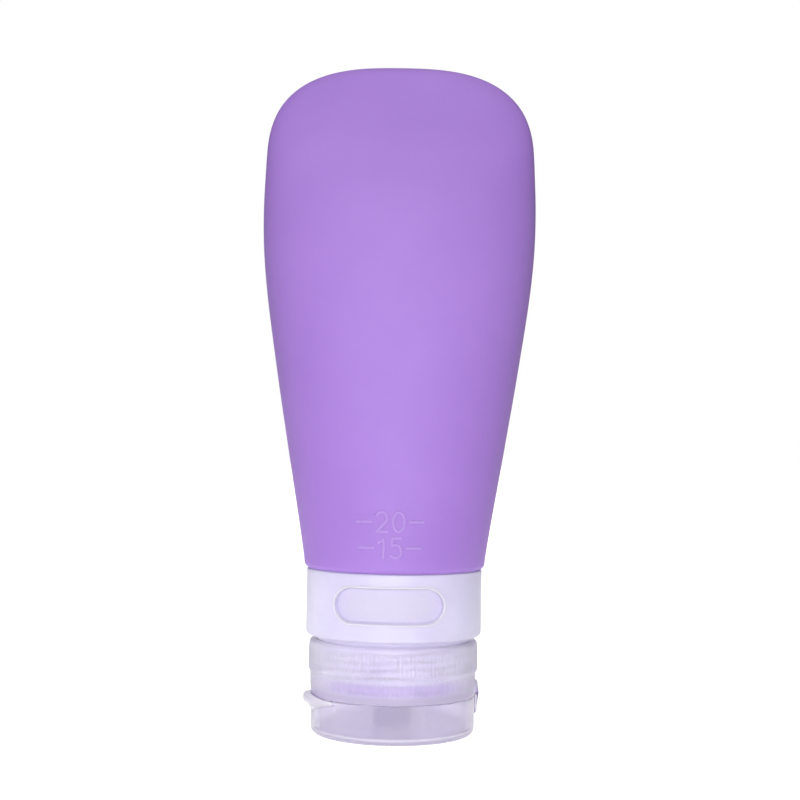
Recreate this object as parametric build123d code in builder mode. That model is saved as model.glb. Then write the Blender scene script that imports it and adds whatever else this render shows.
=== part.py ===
from build123d import *
import math
import os

# A travel bottle of soft silicone. It stands upside down on its closed flip lid,
# so the lid's floor is at zero height and the bottle's closed end is at the top.
# +Z runs up the bottle's axis, X across its wide side, and -Y towards the viewer.

# Heights of the pieces that show, from the lid up
lid_height = 8.2
cap_height = 11.6
ring_height = 13.8
body_height = 106.6

# Gaps between pieces that move on each other
cap_to_ring_gap = 1.0
ring_to_body_gap = 0.2
running_gap = 0.3
seat_gap = 0.1

# Squeezable body: half its width and depth at the widest, and its one wall
body_half_width = 29.1
belly_half_depth = 15.2
body_wall = 1.5
body_overhang = 0.45
foot_bevel = 0.7

# Window ring that turns on the drum. The window leaves a sill below and a head above.
ring_radius = 18.55
ring_wall = 1.55
ring_foot_bevel = 0.7
catch_thickness = 1.2
catch_engagement = 0.45
window_width = 22.3
window_sill = 3.7
window_head = 2.3
window_azimuth = -3.6
rim_width = 0.9
rim_proud = 0.22

# Label band on the drum, inside the window ring
label_thickness = 0.7
label_end_margin = 0.5

# Hard neck ring: the drum under the label, the threaded barrel and its end recess
drum_wall = 2.9
barrel_wall = 1.6
barrel_recess = 0.7

# Silicone neck and the lip that folds over the barrel's end
neck_wall = 1.5
lip_thickness = 1.8
lip_overhang = 0.3
lip_fold = 1.2

# Screw cap with its deck, nozzle and grip band
cap_wall = 1.5
cap_rim_bevel = 0.9
deck_thickness = 1.1
band_rise = 5.2
band_height = 4.6
band_proud = 0.4
nozzle_radius = 6.4
nozzle_height = 1.8
nozzle_bore_radius = 4.6
ledge_thickness = 1.0
socket_wall = 1.4
socket_bead = 0.2
socket_bead_height = 0.6
thread_room = 0.9

# Sealing washer between the deck and the folded lip
washer_thickness = 0.8
washer_inset = 0.3

# Slit valve and the ring that holds it in the nozzle's socket
valve_radius = 5.9
valve_flange_thickness = 1.2
valve_dish_radius = 4.1
valve_skin = 0.65
slit_length = 4.6
slit_width = 0.14
retainer_thickness = 2.0
retainer_wall = 1.5

# Flip lid with its plug and thumb tab
lid_inset = 0.05
lid_wall = 1.3
lid_floor = 1.3
lid_foot_bevel = 1.2
plug_wall = 1.0
tab_reach = 2.35
tab_thickness = 2.5
tab_half_angle = 31.0
tab_bevel = 0.9

# Hinge band, its pads on the lid and the cap, and where it stands round the axis
closure_azimuth = 105.0
pad_width = 9.6
pad_height = 4.2
pad_reach = 0.5
band_hinge_width = 8.6
band_hinge_thickness = 0.5
band_hinge_bow = 0.45
band_hinge_foot = 1.2
band_hinge_margin = 0.6
band_hinge_round = 0.2

# How far a cutter runs past the face that it opens
overrun = 2.0

# The body's oval sections are drawn with this many sides, a multiple of four
oval_sides = 32

# The body's flank: height up the body, how far its width has gone from the round
# foot to the widest, and how far its depth has gone from the foot to the belly
flank_shares = (
    (0.000, 0.00, 0.00),
    (0.066, 0.09, 0.21),
    (0.246, 0.41, 0.82),
    (0.487, 0.81, 1.00),
)

# Above the belly the tube flattens: height, width of the widest, depth of the belly
taper_shares = (
    (0.727, 1.000, 0.800),
    (0.847, 0.969, 0.566),
    (0.909, 0.911, 0.370),
)

# Its closed end rounds over from corner to corner, in the same shares
end_shares = (
    (0.940, 0.830, 0.285),
    (0.962, 0.735, 0.215),
    (0.984, 0.570, 0.135),
    (1.000, 0.330, 0.050),
)
cavity_end_share = 0.97

# Heights and radii that follow from the sizes above
parting_z = lid_height
deck_z = parting_z + deck_thickness
lip_z = deck_z + washer_thickness
barrel_z = lip_z + lip_thickness
cap_rim_z = parting_z + cap_height
ring_z = cap_rim_z + cap_to_ring_gap
ring_top_z = ring_z + ring_height
body_z = ring_top_z + ring_to_body_gap
total_height = body_z + body_height

flange_z = cap_rim_z + 2 * seat_gap
drum_z = ring_z - 2 * seat_gap
catch_top_z = ring_z + catch_thickness
window_height = ring_height - window_sill - window_head
window_rise = window_sill + window_height / 2

ring_bore_radius = ring_radius - ring_wall
label_radius = ring_bore_radius - running_gap
drum_radius = label_radius - label_thickness
catch_radius = drum_radius + running_gap
flange_radius = catch_radius + catch_engagement
neck_radius = drum_radius - drum_wall
neck_bore_radius = neck_radius - neck_wall
barrel_radius = neck_radius + barrel_wall
barrel_recess_radius = barrel_radius - barrel_recess
lip_radius = barrel_radius + lip_overhang
body_foot_radius = ring_radius + body_overhang

cap_bore_radius = lip_radius + thread_room
cap_radius = cap_bore_radius + cap_wall
band_z = parting_z + band_rise
band_top_z = band_z + band_height
lid_radius = cap_radius - lid_inset
lid_bore_radius = lid_radius - lid_wall
nozzle_z = parting_z - nozzle_height
ledge_z = nozzle_z + ledge_thickness
retainer_z = ledge_z + valve_flange_thickness
retainer_top_z = retainer_z + retainer_thickness
socket_radius = valve_radius + socket_wall
socket_top_z = retainer_top_z + socket_bead_height
plug_radius = nozzle_bore_radius - running_gap
plug_top_z = ledge_z - seat_gap
pad_face = cap_radius + pad_reach

closure_angle = math.radians(closure_azimuth)
closure_x = math.sin(closure_angle)
closure_y = -math.cos(closure_angle)
window_angle = math.radians(window_azimuth)


def flank_station(height_share, spread_share, flatten_share):
    """Height and half-sizes of the body where it spreads from the round foot."""
    half_width = body_foot_radius + spread_share * (body_half_width - body_foot_radius)
    half_depth = body_foot_radius + flatten_share * (belly_half_depth - body_foot_radius)
    return body_z + height_share * body_height, half_width, half_depth


def end_station(height_share, width_share, depth_share):
    """Height and half-sizes of the body where it flattens to the closed end."""
    half_width = width_share * body_half_width
    half_depth = depth_share * belly_half_depth
    return body_z + height_share * body_height, half_width, half_depth


tube_stations = [flank_station(*row) for row in flank_shares]
tube_stations += [end_station(*row) for row in taper_shares]
end_stations = tube_stations[-1:] + [end_station(*row) for row in end_shares]


def inside(stations):
    """The same stations one wall further in, from the body's floor to the hollow's end."""
    return [
        (max(z, body_z + body_wall), half_width - body_wall, half_depth - body_wall)
        for z, half_width, half_depth in stations
        if z < body_z + cavity_end_share * body_height
    ]


tube_hollow_stations = inside(tube_stations)
end_hollow_stations = inside(end_stations)


def oval(half_width, half_depth):
    """Corners of an oval section, at equal steps of the ellipse that it follows."""
    steps = [math.radians(360 * side / oval_sides) for side in range(oval_sides)]
    return [(half_width * math.cos(t), half_depth * math.sin(t)) for t in steps]


# The neck ring is hard: the cap's thread barrel, the flange that keeps the window
# ring off the cap, and the wider drum that the label lies on.
with BuildPart() as neck_ring:
    with BuildSketch(Plane.XZ):
        with BuildLine():
            Polyline(
                (neck_radius, barrel_z),
                (barrel_recess_radius, barrel_z),
                (barrel_recess_radius, barrel_z + lip_fold),
                (barrel_radius, barrel_z + lip_fold),
                (barrel_radius, flange_z),
                (flange_radius, flange_z),
                (flange_radius, drum_z),
                (drum_radius, drum_z),
                (drum_radius, body_z),
                (neck_radius, body_z),
                close=True,
            )
        make_face()
    revolve(axis=Axis.Z)
neck_ring.part.label = "neck_ring"

# The hollow inside the body, from the neck's bore to the flat closed end. It is cut
# out of the body and gives the bottle's capacity.
with BuildPart() as hollow:
    for stations in (tube_hollow_stations, end_hollow_stations):
        for z, half_width, half_depth in stations:
            with BuildSketch(Plane.XY.offset(z)):
                Polygon(*oval(half_width, half_depth), align=None)
        loft(ruled=True)
    with BuildSketch(Plane.XY.offset(lip_z)):
        Circle(neck_bore_radius)
    extrude(until=Until.NEXT)
capacity_ml = hollow.part.volume / 1000
print(f"capacity {capacity_ml:.1f} ml, height {total_height:.1f} mm")

# The body is one silicone skin: round at its foot, flattening to the closed end,
# with a neck inside the hard ring and a lip folded back over the barrel's end.
with BuildPart() as bottle_body:
    for stations in (tube_stations, end_stations):
        for z, half_width, half_depth in stations:
            with BuildSketch(Plane.XY.offset(z)):
                Polygon(*oval(half_width, half_depth), align=None)
        loft()
    chamfer(bottle_body.edges().group_by(Axis.Z)[0], foot_bevel)
    with BuildSketch(Plane.XZ):
        with BuildLine():
            Polyline(
                (0, lip_z),
                (lip_radius, lip_z),
                (lip_radius, barrel_z + lip_fold),
                (barrel_recess_radius, barrel_z + lip_fold),
                (barrel_recess_radius, barrel_z),
                (neck_radius, barrel_z),
                (neck_radius, body_z + body_wall),
                (0, body_z + body_wall),
                close=True,
            )
        make_face()
    revolve(axis=Axis.Z)
    add(hollow.part, mode=Mode.SUBTRACT)
bottle_body.part.label = "bottle_body"

# The label band is a plain sleeve on the drum, read through the ring's window.
with BuildPart() as label_band:
    with BuildSketch(Plane.XY.offset(catch_top_z + label_end_margin)):
        Circle(label_radius)
        Circle(drum_radius, mode=Mode.SUBTRACT)
    extrude(amount=ring_top_z - catch_top_z - 2 * label_end_margin)
label_band.part.label = "label_band"

# The window's raised rim, a long loop that follows the ring's curve
window_plane = Plane(
    origin=(0, 0, ring_z + window_rise),
    x_dir=(math.cos(window_angle), math.sin(window_angle), 0),
    z_dir=(math.sin(window_angle), -math.cos(window_angle), 0),
)
with BuildPart() as window_rim:
    with BuildSketch(window_plane):
        SlotOverall(window_width + 2 * rim_width, window_height + 2 * rim_width)
    extrude(amount=ring_radius + overrun)
    with BuildSketch(Plane.XY.offset(ring_z)):
        Circle(ring_radius + rim_proud)
        Circle(ring_bore_radius, mode=Mode.SUBTRACT)
    extrude(amount=ring_height, mode=Mode.INTERSECT)

# The window ring turns on the drum. Its foot runs on the flange, and the catch
# inside it keeps the flange's edge under it.
with BuildPart() as window_ring:
    with BuildSketch(Plane.XZ):
        with BuildLine():
            Polyline(
                (catch_radius, ring_z),
                (ring_radius - ring_foot_bevel, ring_z),
                (ring_radius, ring_z + ring_foot_bevel),
                (ring_radius, ring_top_z),
                (ring_bore_radius, ring_top_z),
                (ring_bore_radius, catch_top_z),
                (catch_radius, catch_top_z),
                close=True,
            )
        make_face()
    revolve(axis=Axis.Z)
    add(window_rim.part)
    with BuildSketch(window_plane):
        SlotOverall(window_width, window_height)
    extrude(amount=ring_radius + overrun, mode=Mode.SUBTRACT)
window_ring.part.label = "window_ring"

# The sealing washer lies between the cap's deck and the folded lip.
with BuildPart() as sealing_washer:
    with BuildSketch(Plane.XY.offset(deck_z)):
        Circle(lip_radius)
        Circle(neck_bore_radius + washer_inset, mode=Mode.SUBTRACT)
    extrude(amount=washer_thickness)
sealing_washer.part.label = "sealing_washer"

# The pads that carry the hinge band are flat, square to the hinge's direction.
pad_plane = Plane(
    origin=(closure_x * lid_bore_radius, closure_y * lid_bore_radius, parting_z),
    x_dir=(-closure_y, closure_x, 0),
    z_dir=(closure_x, closure_y, 0),
)

# The screw cap: a deck, the nozzle with the valve's socket behind it, and a skirt
# whose grip band stands a little proud.
with BuildPart() as screw_cap:
    with BuildSketch(Plane.XZ):
        with BuildLine():
            Polyline(
                (nozzle_bore_radius, nozzle_z),
                (nozzle_radius, nozzle_z),
                (nozzle_radius, parting_z),
                (cap_radius, parting_z),
                (cap_radius, band_z),
                (cap_radius + band_proud, band_z),
                (cap_radius + band_proud, band_top_z),
                (cap_radius + band_proud - cap_rim_bevel, cap_rim_z),
                (cap_bore_radius, cap_rim_z),
                (cap_bore_radius, deck_z),
                (socket_radius, deck_z),
                (socket_radius, socket_top_z),
                (valve_radius - socket_bead, socket_top_z),
                (valve_radius - socket_bead, retainer_top_z),
                (valve_radius, retainer_top_z),
                (valve_radius, ledge_z),
                (nozzle_bore_radius, ledge_z),
                close=True,
            )
        make_face()
    revolve(axis=Axis.Z)
    with BuildSketch(pad_plane):
        Rectangle(pad_width, pad_height, align=(Align.CENTER, Align.MIN))
    extrude(amount=pad_face - lid_bore_radius)
    with BuildSketch(Plane.XY.offset(deck_z)):
        Circle(cap_bore_radius)
        Circle(socket_radius, mode=Mode.SUBTRACT)
    extrude(amount=pad_height, mode=Mode.SUBTRACT)
screw_cap.part.label = "screw_cap"

# The valve is a soft disc, thin in the middle, where a cross of two slits cuts it.
with BuildPart() as drip_valve:
    with BuildSketch(Plane.XY.offset(ledge_z)):
        Circle(valve_radius)
    extrude(amount=valve_flange_thickness)
    with BuildSketch(Plane.XY.offset(ledge_z + valve_skin)):
        Circle(valve_dish_radius)
    extrude(amount=valve_flange_thickness, mode=Mode.SUBTRACT)
    with BuildSketch(Plane.XY.offset(ledge_z)):
        Rectangle(slit_length, slit_width)
        Rectangle(slit_width, slit_length)
    extrude(amount=valve_flange_thickness, mode=Mode.SUBTRACT)
drip_valve.part.label = "drip_valve"

# The retainer snaps in behind the valve's flange and holds it on the ledge.
with BuildPart() as valve_retainer:
    with BuildSketch(Plane.XY.offset(retainer_z)):
        Circle(valve_radius)
        Circle(valve_radius - retainer_wall, mode=Mode.SUBTRACT)
    extrude(amount=retainer_thickness)
valve_retainer.part.label = "valve_retainer"

# The thumb tab is a crescent: a smaller circle that crosses the lid's rim.
tab_tip = lid_radius + tab_reach
tab_cosine = math.cos(math.radians(tab_half_angle))
tab_offset = (tab_tip**2 - lid_radius**2) / (2 * (tab_tip - lid_radius * tab_cosine))

# The flip lid: a shallow cup with a plug ring that closes the nozzle.
with BuildPart() as flip_lid:
    with BuildSketch(Plane.XZ):
        with BuildLine():
            Polyline(
                (0, 0),
                (lid_radius - lid_foot_bevel, 0),
                (lid_radius, lid_foot_bevel),
                (lid_radius, parting_z),
                (lid_bore_radius, parting_z),
                (lid_bore_radius, lid_floor),
                (plug_radius, lid_floor),
                (plug_radius, plug_top_z),
                (plug_radius - plug_wall, plug_top_z),
                (plug_radius - plug_wall, lid_floor),
                (0, lid_floor),
                close=True,
            )
        make_face()
    revolve(axis=Axis.Z)
    with BuildSketch(Plane.XY.offset(parting_z)):
        with Locations((-closure_x * tab_offset, -closure_y * tab_offset)):
            Circle(tab_tip - tab_offset)
        Circle(lid_radius - lid_wall / 2, mode=Mode.SUBTRACT)
    extrude(amount=-tab_thickness)
    tab_edges = flip_lid.edges().filter_by(GeomType.CIRCLE).filter_by(
        lambda edge: abs(edge.radius - tab_tip + tab_offset) < seat_gap
    )
    chamfer(tab_edges.sort_by(Axis.Z)[0], tab_bevel)
    with BuildSketch(pad_plane):
        Rectangle(pad_width, pad_height, align=(Align.CENTER, Align.MAX))
    extrude(amount=pad_face - lid_bore_radius)
    with BuildSketch(Plane.XY.offset(lid_floor)):
        Circle(lid_bore_radius)
        Circle(plug_radius, mode=Mode.SUBTRACT)
    extrude(amount=lid_height - lid_floor, mode=Mode.SUBTRACT)
flip_lid.part.label = "flip_lid"

# The hinge band bows out between two feet, one on each pad, and folds in the middle.
hinge_plane = Plane(
    origin=(closure_x * pad_face, closure_y * pad_face, parting_z),
    x_dir=(closure_x, closure_y, 0),
    z_dir=(closure_y, -closure_x, 0),
)
hinge_half_height = pad_height - band_hinge_margin
with BuildPart() as hinge_band:
    with BuildSketch(hinge_plane):
        with BuildLine():
            Line((0, -hinge_half_height), (0, band_hinge_foot - hinge_half_height))
            ThreePointArc(
                (0, band_hinge_foot - hinge_half_height),
                (band_hinge_bow, 0),
                (0, hinge_half_height - band_hinge_foot),
            )
            Polyline(
                (0, hinge_half_height - band_hinge_foot),
                (0, hinge_half_height),
                (band_hinge_thickness, hinge_half_height),
            )
            ThreePointArc(
                (band_hinge_thickness, hinge_half_height),
                (band_hinge_bow + band_hinge_thickness, 0),
                (band_hinge_thickness, -hinge_half_height),
            )
            Line((band_hinge_thickness, -hinge_half_height), (0, -hinge_half_height))
        make_face()
        lower_corner = vertices().group_by(Axis.Y)[0].sort_by(Axis.X)[-1]
        upper_corner = vertices().group_by(Axis.Y)[-1].sort_by(Axis.X)[-1]
        fillet((lower_corner, upper_corner), band_hinge_round)
    extrude(amount=band_hinge_width / 2, both=True)
hinge_band.part.label = "hinge_band"

os.makedirs("parts", exist_ok=True)
export_step(bottle_body.part, "parts/bottle_body.step")
export_step(neck_ring.part, "parts/neck_ring.step")
export_step(label_band.part, "parts/label_band.step")
export_step(window_ring.part, "parts/window_ring.step")
export_step(sealing_washer.part, "parts/sealing_washer.step")
export_step(screw_cap.part, "parts/screw_cap.step")
export_step(drip_valve.part, "parts/drip_valve.step")
export_step(valve_retainer.part, "parts/valve_retainer.step")
export_step(hinge_band.part, "parts/hinge_band.step")
export_step(flip_lid.part, "parts/flip_lid.step")
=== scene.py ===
import logging
import math
from collections.abc import Sequence
from dataclasses import dataclass, field
from enum import Enum

import bmesh
import bpy
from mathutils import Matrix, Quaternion, Vector


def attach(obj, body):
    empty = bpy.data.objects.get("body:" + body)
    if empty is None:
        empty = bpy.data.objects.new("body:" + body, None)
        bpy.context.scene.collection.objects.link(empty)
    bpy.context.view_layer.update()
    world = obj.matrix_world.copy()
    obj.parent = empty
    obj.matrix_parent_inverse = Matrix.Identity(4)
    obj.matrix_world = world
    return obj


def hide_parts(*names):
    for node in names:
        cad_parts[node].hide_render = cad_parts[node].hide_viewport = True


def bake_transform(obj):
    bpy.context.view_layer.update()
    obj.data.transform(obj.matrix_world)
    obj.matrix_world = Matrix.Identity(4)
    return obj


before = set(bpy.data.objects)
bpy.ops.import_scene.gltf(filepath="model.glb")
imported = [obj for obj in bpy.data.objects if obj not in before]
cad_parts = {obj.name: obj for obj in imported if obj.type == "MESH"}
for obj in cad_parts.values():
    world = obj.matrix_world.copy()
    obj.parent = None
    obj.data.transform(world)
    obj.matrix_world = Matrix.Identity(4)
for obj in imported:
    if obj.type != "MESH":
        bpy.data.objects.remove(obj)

# A travel bottle of soft silicone, standing on its closed flip lid. Sizes are in
# millimetres in the classes and turn into metres where a mesh or a tree takes them.
MM = 0.001

# In metres: points nearer than the first become one, edges under the second go, and
# a thread only moves what lies within the third of its wall.
SAME_SPOT = 2e-6
NO_LENGTH = 1e-7
ON_WALL = 0.05 * MM

# A rounding takes up to this share of each side that it joins.
SIDE_SHARE = 0.49
WHITE = (1.0, 1.0, 1.0, 1.0)

log = logging.getLogger("travel_bottle")

Point = tuple[float, float]
Corner = tuple[float, float, float]
Row = tuple[float, float, float]
Shade = tuple[int, int, int]
Lobe = tuple[str, Point, float]
Socket = bpy.types.NodeSocket
Value = float | int | Socket


class Carrier(Enum):
    """The bodies that the bottle's pieces move with."""

    BOTTLE = "bottle"
    COLLAR = "collar"
    WASHER = "washer"
    CAP = "cap"
    LID = "lid"


class Cut(Enum):
    """What a tool shape does to the piece that it meets."""

    JOIN = "UNION"
    TAKE = "DIFFERENCE"


class NodeBench:
    """Adds the nodes of one tree and joins their sockets."""

    def __init__(self, tree: bpy.types.NodeTree) -> None:
        """Start on a tree.

        Args:
            tree: The shader or geometry tree that gets the nodes.
        """
        self.tree = tree

    def add(self, kind: str, **settings: object) -> bpy.types.Node:
        """Add one node.

        Args:
            kind: Blender's name of the node's type.
            settings: Properties of the node, set before its sockets are used.

        Returns:
            The new node.
        """
        node = self.tree.nodes.new(kind)
        for name, value in settings.items():
            setattr(node, name, value)
        return node

    def feed(self, target: Socket, value: object) -> None:
        """Link a socket, or give it a plain value.

        Args:
            target: The input that gets the value.
            value: Another node's output, or a number, vector or colour.
        """
        if isinstance(value, bpy.types.NodeSocket):
            self.tree.links.new(value, target)
        else:
            target.default_value = value

    def math(self, operation: str, first: Value, second: Value = 0.0) -> Socket:
        """Add one sum.

        Args:
            operation: The Math node's operation.
            first: Its first number.
            second: Its second number, where it has one.

        Returns:
            The result's socket.
        """
        node = self.add("ShaderNodeMath", operation=operation)
        self.feed(node.inputs[0], first)
        self.feed(node.inputs[1], second)
        return node.outputs[0]

    def smooth(self, value: Value, low: Value, high: Value) -> Socket:
        """Step softly from 0 at low to 1 at high.

        Args:
            value: The number that is measured.
            low: Where the step starts.
            high: Where the step ends.

        Returns:
            The result's socket.
        """
        node = self.add("ShaderNodeMapRange", interpolation_type="SMOOTHSTEP")
        self.feed(node.inputs["Value"], value)
        self.feed(node.inputs["From Min"], low)
        self.feed(node.inputs["From Max"], high)
        return node.outputs["Result"]

    def spread(self, value: Value, low: float, high: float) -> Socket:
        """Stretch a 0 to 1 value between two numbers.

        Args:
            value: The number that is stretched.
            low: The result at 0.
            high: The result at 1.

        Returns:
            The result's socket.
        """
        node = self.add("ShaderNodeMapRange")
        self.feed(node.inputs["Value"], value)
        node.inputs["To Min"].default_value = low
        node.inputs["To Max"].default_value = high
        return node.outputs["Result"]

    def axes(self, spot: Socket) -> tuple[Socket, Socket, Socket]:
        """Split a place into its distances along X, Y and Z.

        Args:
            spot: The place's vector.

        Returns:
            Sockets of the three distances.
        """
        node = self.add("ShaderNodeSeparateXYZ")
        self.feed(node.inputs[0], spot)
        return node.outputs["X"], node.outputs["Y"], node.outputs["Z"]


class SurfaceBench(NodeBench):
    """Builds one material on object coordinates."""

    def __init__(self, name: str) -> None:
        """Start a material with its shader and output.

        Args:
            name: The material's name.
        """
        self.material = bpy.data.materials.new(name)
        self.material.use_nodes = True
        super().__init__(self.material.node_tree)
        self.tree.nodes.clear()
        self.shader = self.add("ShaderNodeBsdfPrincipled")
        output = self.add("ShaderNodeOutputMaterial")
        self.feed(output.inputs["Surface"], self.shader.outputs["BSDF"])
        self.location = self.add("ShaderNodeTexCoord").outputs["Object"]

    def set(self, **values: object) -> None:
        """Set or link the shader's sockets, named with _ for each space."""
        for name, value in values.items():
            self.feed(self.shader.inputs[name.replace("_", " ")], value)

    def grain(self, size: float, detail: float = 2.0, stretch: Vector | None = None) -> Socket:
        """Add even noise of one grain size.

        Args:
            size: Width of its spots in millimetres.
            detail: How many finer layers it carries.
            stretch: Scale of the pattern along each axis.

        Returns:
            The noise's 0 to 1 socket.
        """
        location = self.location
        if stretch is not None:
            mapping = self.add("ShaderNodeMapping")
            self.feed(mapping.inputs["Vector"], location)
            mapping.inputs["Scale"].default_value = stretch
            location = mapping.outputs["Vector"]
        noise = self.add("ShaderNodeTexNoise")
        self.feed(noise.inputs["Vector"], location)
        noise.inputs["Scale"].default_value = 1 / (size * MM)
        noise.inputs["Detail"].default_value = detail
        return noise.outputs["Fac"]

    def blend(self, amount: Value, first: object, second: object) -> Socket:
        """Mix two colours.

        Args:
            amount: 0 for the first, 1 for the second.
            first: A colour or its socket.
            second: A colour or its socket.

        Returns:
            The mixed colour's socket.
        """
        node = self.add("ShaderNodeMix", data_type="RGBA")
        self.feed(node.inputs[0], amount)
        self.feed(node.inputs[6], first)
        self.feed(node.inputs[7], second)
        return node.outputs[2]

    def relief(self, height: Socket, depth: float, under: Socket | None = None) -> Socket:
        """Raise the surface by a 0 to 1 height.

        Args:
            height: The height's socket.
            depth: Relief in millimetres at height 1.
            under: Another relief that this one lies on.

        Returns:
            The normal's socket.
        """
        node = self.add("ShaderNodeBump")
        node.inputs["Distance"].default_value = depth * MM
        self.feed(node.inputs["Height"], height)
        if under is not None:
            self.feed(node.inputs["Normal"], under)
        return node.outputs["Normal"]


def linear(red: int, green: int, blue: int) -> tuple[float, float, float, float]:
    """Turn screen levels into a scene colour.

    Args:
        red: Level from 0 to 255.
        green: Level from 0 to 255.
        blue: Level from 0 to 255.

    Returns:
        The colour in linear light, with full alpha.
    """
    parts = []
    for level in (red, green, blue):
        share = level / 255
        parts.append(share / 12.92 if share <= 0.04045 else ((share + 0.055) / 1.055) ** 2.4)
    return (parts[0], parts[1], parts[2], 1.0)


@dataclass(frozen=True)
class SiliconeFinish:
    """Matte moulded silicone: cloudy pigment, a fine dull grain and a faint mould line."""

    name: str
    deep: Shade
    light: Shade
    roughness: float = 0.5
    mould_line: bool = False
    cloud_size: float = 16.0
    mottle_size: float = 1.4
    grain_size: float = 0.22
    grain_depth: float = 0.012
    wave_size: float = 9.0
    wave_depth: float = 0.05
    rub_size: float = 2.6
    seam_depth: float = 0.04
    seam_half: Point = (0.04, 0.22)
    glow_depth: float = 2.2

    def build(self) -> bpy.types.Material:
        """Build the material.

        Returns:
            The finished material.
        """
        bench = SurfaceBench(self.name)
        deep = linear(*self.deep)
        cloud = bench.spread(bench.grain(self.cloud_size, 3.0), -0.25, 1.25)
        tint = bench.blend(cloud, deep, linear(*self.light))
        mottle = bench.smooth(bench.grain(self.mottle_size, 1.0), 0.35, 0.75)
        shade = bench.blend(bench.math("MULTIPLY", mottle, 0.12), tint, deep)
        normal = bench.relief(bench.grain(self.grain_size, 3.0), self.grain_depth)
        normal = bench.relief(bench.grain(self.wave_size, 1.0), self.wave_depth, normal)
        if self.mould_line:
            normal = bench.relief(self.seam(bench), self.seam_depth, normal)
        rub = bench.grain(self.rub_size, 4.0)
        dull = bench.spread(rub, self.roughness - 0.06, self.roughness + 0.08)
        bench.set(
            Base_Color=shade, Roughness=dull, Normal=normal, IOR=1.41,
            Subsurface_Weight=0.22, Subsurface_Radius=(1.0, 0.6, 1.0),
            Subsurface_Scale=self.glow_depth * MM, Specular_IOR_Level=1.0,
        )
        return bench.material

    def seam(self, bench: SurfaceBench) -> Socket:
        """Draw the mould's parting line where the two halves met, at mid depth.

        Args:
            bench: The material's bench.

        Returns:
            A height socket, 1 on the line.
        """
        away = bench.math("ABSOLUTE", bench.axes(bench.location)[1])
        full, gone = self.seam_half
        return bench.smooth(away, gone * MM, full * MM)


@dataclass(frozen=True)
class FrostedFinish:
    """Frosted clear plastic: a darker tint near the axis, partly its thick core's deeper tint and partly
    painted shade; darker and etched at its foot, etched outside its wall.
    """

    name: str
    tint: Shade
    cloudy: Shade
    # Darker tint near the axis, partly the thick core's deeper tint and partly painted shade where the
    # parts above keep the light off; the foot takes the same tint.
    deep_and_shaded_tint: Shade
    roughness: float
    passing: float
    core_radius: float
    etched_to: float
    wall_radius: float
    streaks: float = 0.0
    cloud_size: float = 7.0
    streak_size: float = 1.6
    etch_size: float = 0.3
    etch_depth: float = 0.01
    etched_share: float = 0.7
    core_edge: float = 0.3
    foot_edge: float = 1.2
    wall_edge: float = 0.15
    glow_depth: float = 0.4

    def build(self) -> bpy.types.Material:
        """Build the material.

        Returns:
            The finished material.
        """
        bench = SurfaceBench(self.name)
        cloud = bench.grain(self.cloud_size, 3.0)
        streak = bench.grain(self.streak_size, 3.0, Vector((1.0, 1.0, 0.08)))
        misty = bench.smooth(cloud, 0.25, 0.8)
        pale = bench.blend(misty, linear(*self.tint), linear(*self.cloudy))
        x, y, z = bench.axes(bench.location)
        squares = bench.math("ADD", bench.math("MULTIPLY", x, x), bench.math("MULTIPLY", y, y))
        reach = bench.math("SQRT", squares)
        # Painted shade: the tint darkens near the axis, where the parts above block the light, on top of
        # the thick core's deeper tint.
        core_shade_mask = self.step(bench, reach, self.core_radius, self.core_edge)
        foot = self.step(bench, z, self.etched_to, self.foot_edge)
        wall = self.wall_radius * MM
        proud = bench.smooth(reach, wall, (self.wall_radius + self.wall_edge) * MM)
        tint = bench.blend(bench.math("MAXIMUM", core_shade_mask, foot), pale, linear(*self.deep_and_shaded_tint))
        etched = bench.math("MAXIMUM", foot, proud)
        dimmed = bench.math("MULTIPLY", etched, self.etched_share * self.passing)
        normal = bench.relief(bench.grain(self.etch_size, 2.0), self.etch_depth)
        if self.streaks:
            normal = bench.relief(streak, self.streaks, normal)
        mist = bench.math("ADD", bench.math("MULTIPLY", cloud, 0.6), bench.math("MULTIPLY", streak, 0.4))
        dull = bench.spread(mist, self.roughness - 0.03, self.roughness + 0.06)
        bench.set(
            Base_Color=tint, Roughness=dull, Normal=normal, IOR=1.33,
            Transmission_Weight=bench.math("SUBTRACT", self.passing, dimmed),
            Subsurface_Weight=0.3, Subsurface_Radius=(1.0, 1.0, 1.0),
            Subsurface_Scale=self.glow_depth * MM,
        )
        return bench.material

    def step(self, bench: SurfaceBench, value: Socket, edge: float, width: float) -> Socket:
        """Fall from 1 inside an edge to 0 beyond it; the edge and its width are in millimetres."""
        return bench.smooth(value, (edge + width) * MM, edge * MM)


@dataclass(frozen=True)
class MilkyFinish:
    """Milky plastic: nearly opaque, faintly clouded, with soft gloss and fine wear."""

    name: str
    deep: Shade
    light: Shade
    roughness: float = 0.34
    passing: float = 0.0
    cloud_size: float = 11.0
    ripple_size: float = 5.0
    ripple_depth: float = 0.03
    grain_size: float = 0.35
    grain_depth: float = 0.004
    rub_size: float = 1.9
    glow_depth: float = 0.8

    def build(self) -> bpy.types.Material:
        """Build the material.

        Returns:
            The finished material.
        """
        bench = SurfaceBench(self.name)
        cloud = bench.smooth(bench.grain(self.cloud_size, 3.0), 0.3, 0.72)
        tint = bench.blend(cloud, linear(*self.deep), linear(*self.light))
        normal = bench.relief(bench.grain(self.ripple_size, 1.0), self.ripple_depth)
        normal = bench.relief(bench.grain(self.grain_size, 2.0), self.grain_depth, normal)
        rub = bench.grain(self.rub_size, 4.0)
        rubbed = bench.spread(rub, self.roughness - 0.07, self.roughness + 0.1)
        bench.set(
            Base_Color=tint, Roughness=rubbed, Normal=normal, IOR=1.4,
            Subsurface_Weight=0.3, Subsurface_Radius=(1.0, 1.0, 1.0),
            Subsurface_Scale=self.glow_depth * MM, Transmission_Weight=self.passing,
        )
        return bench.material


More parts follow.
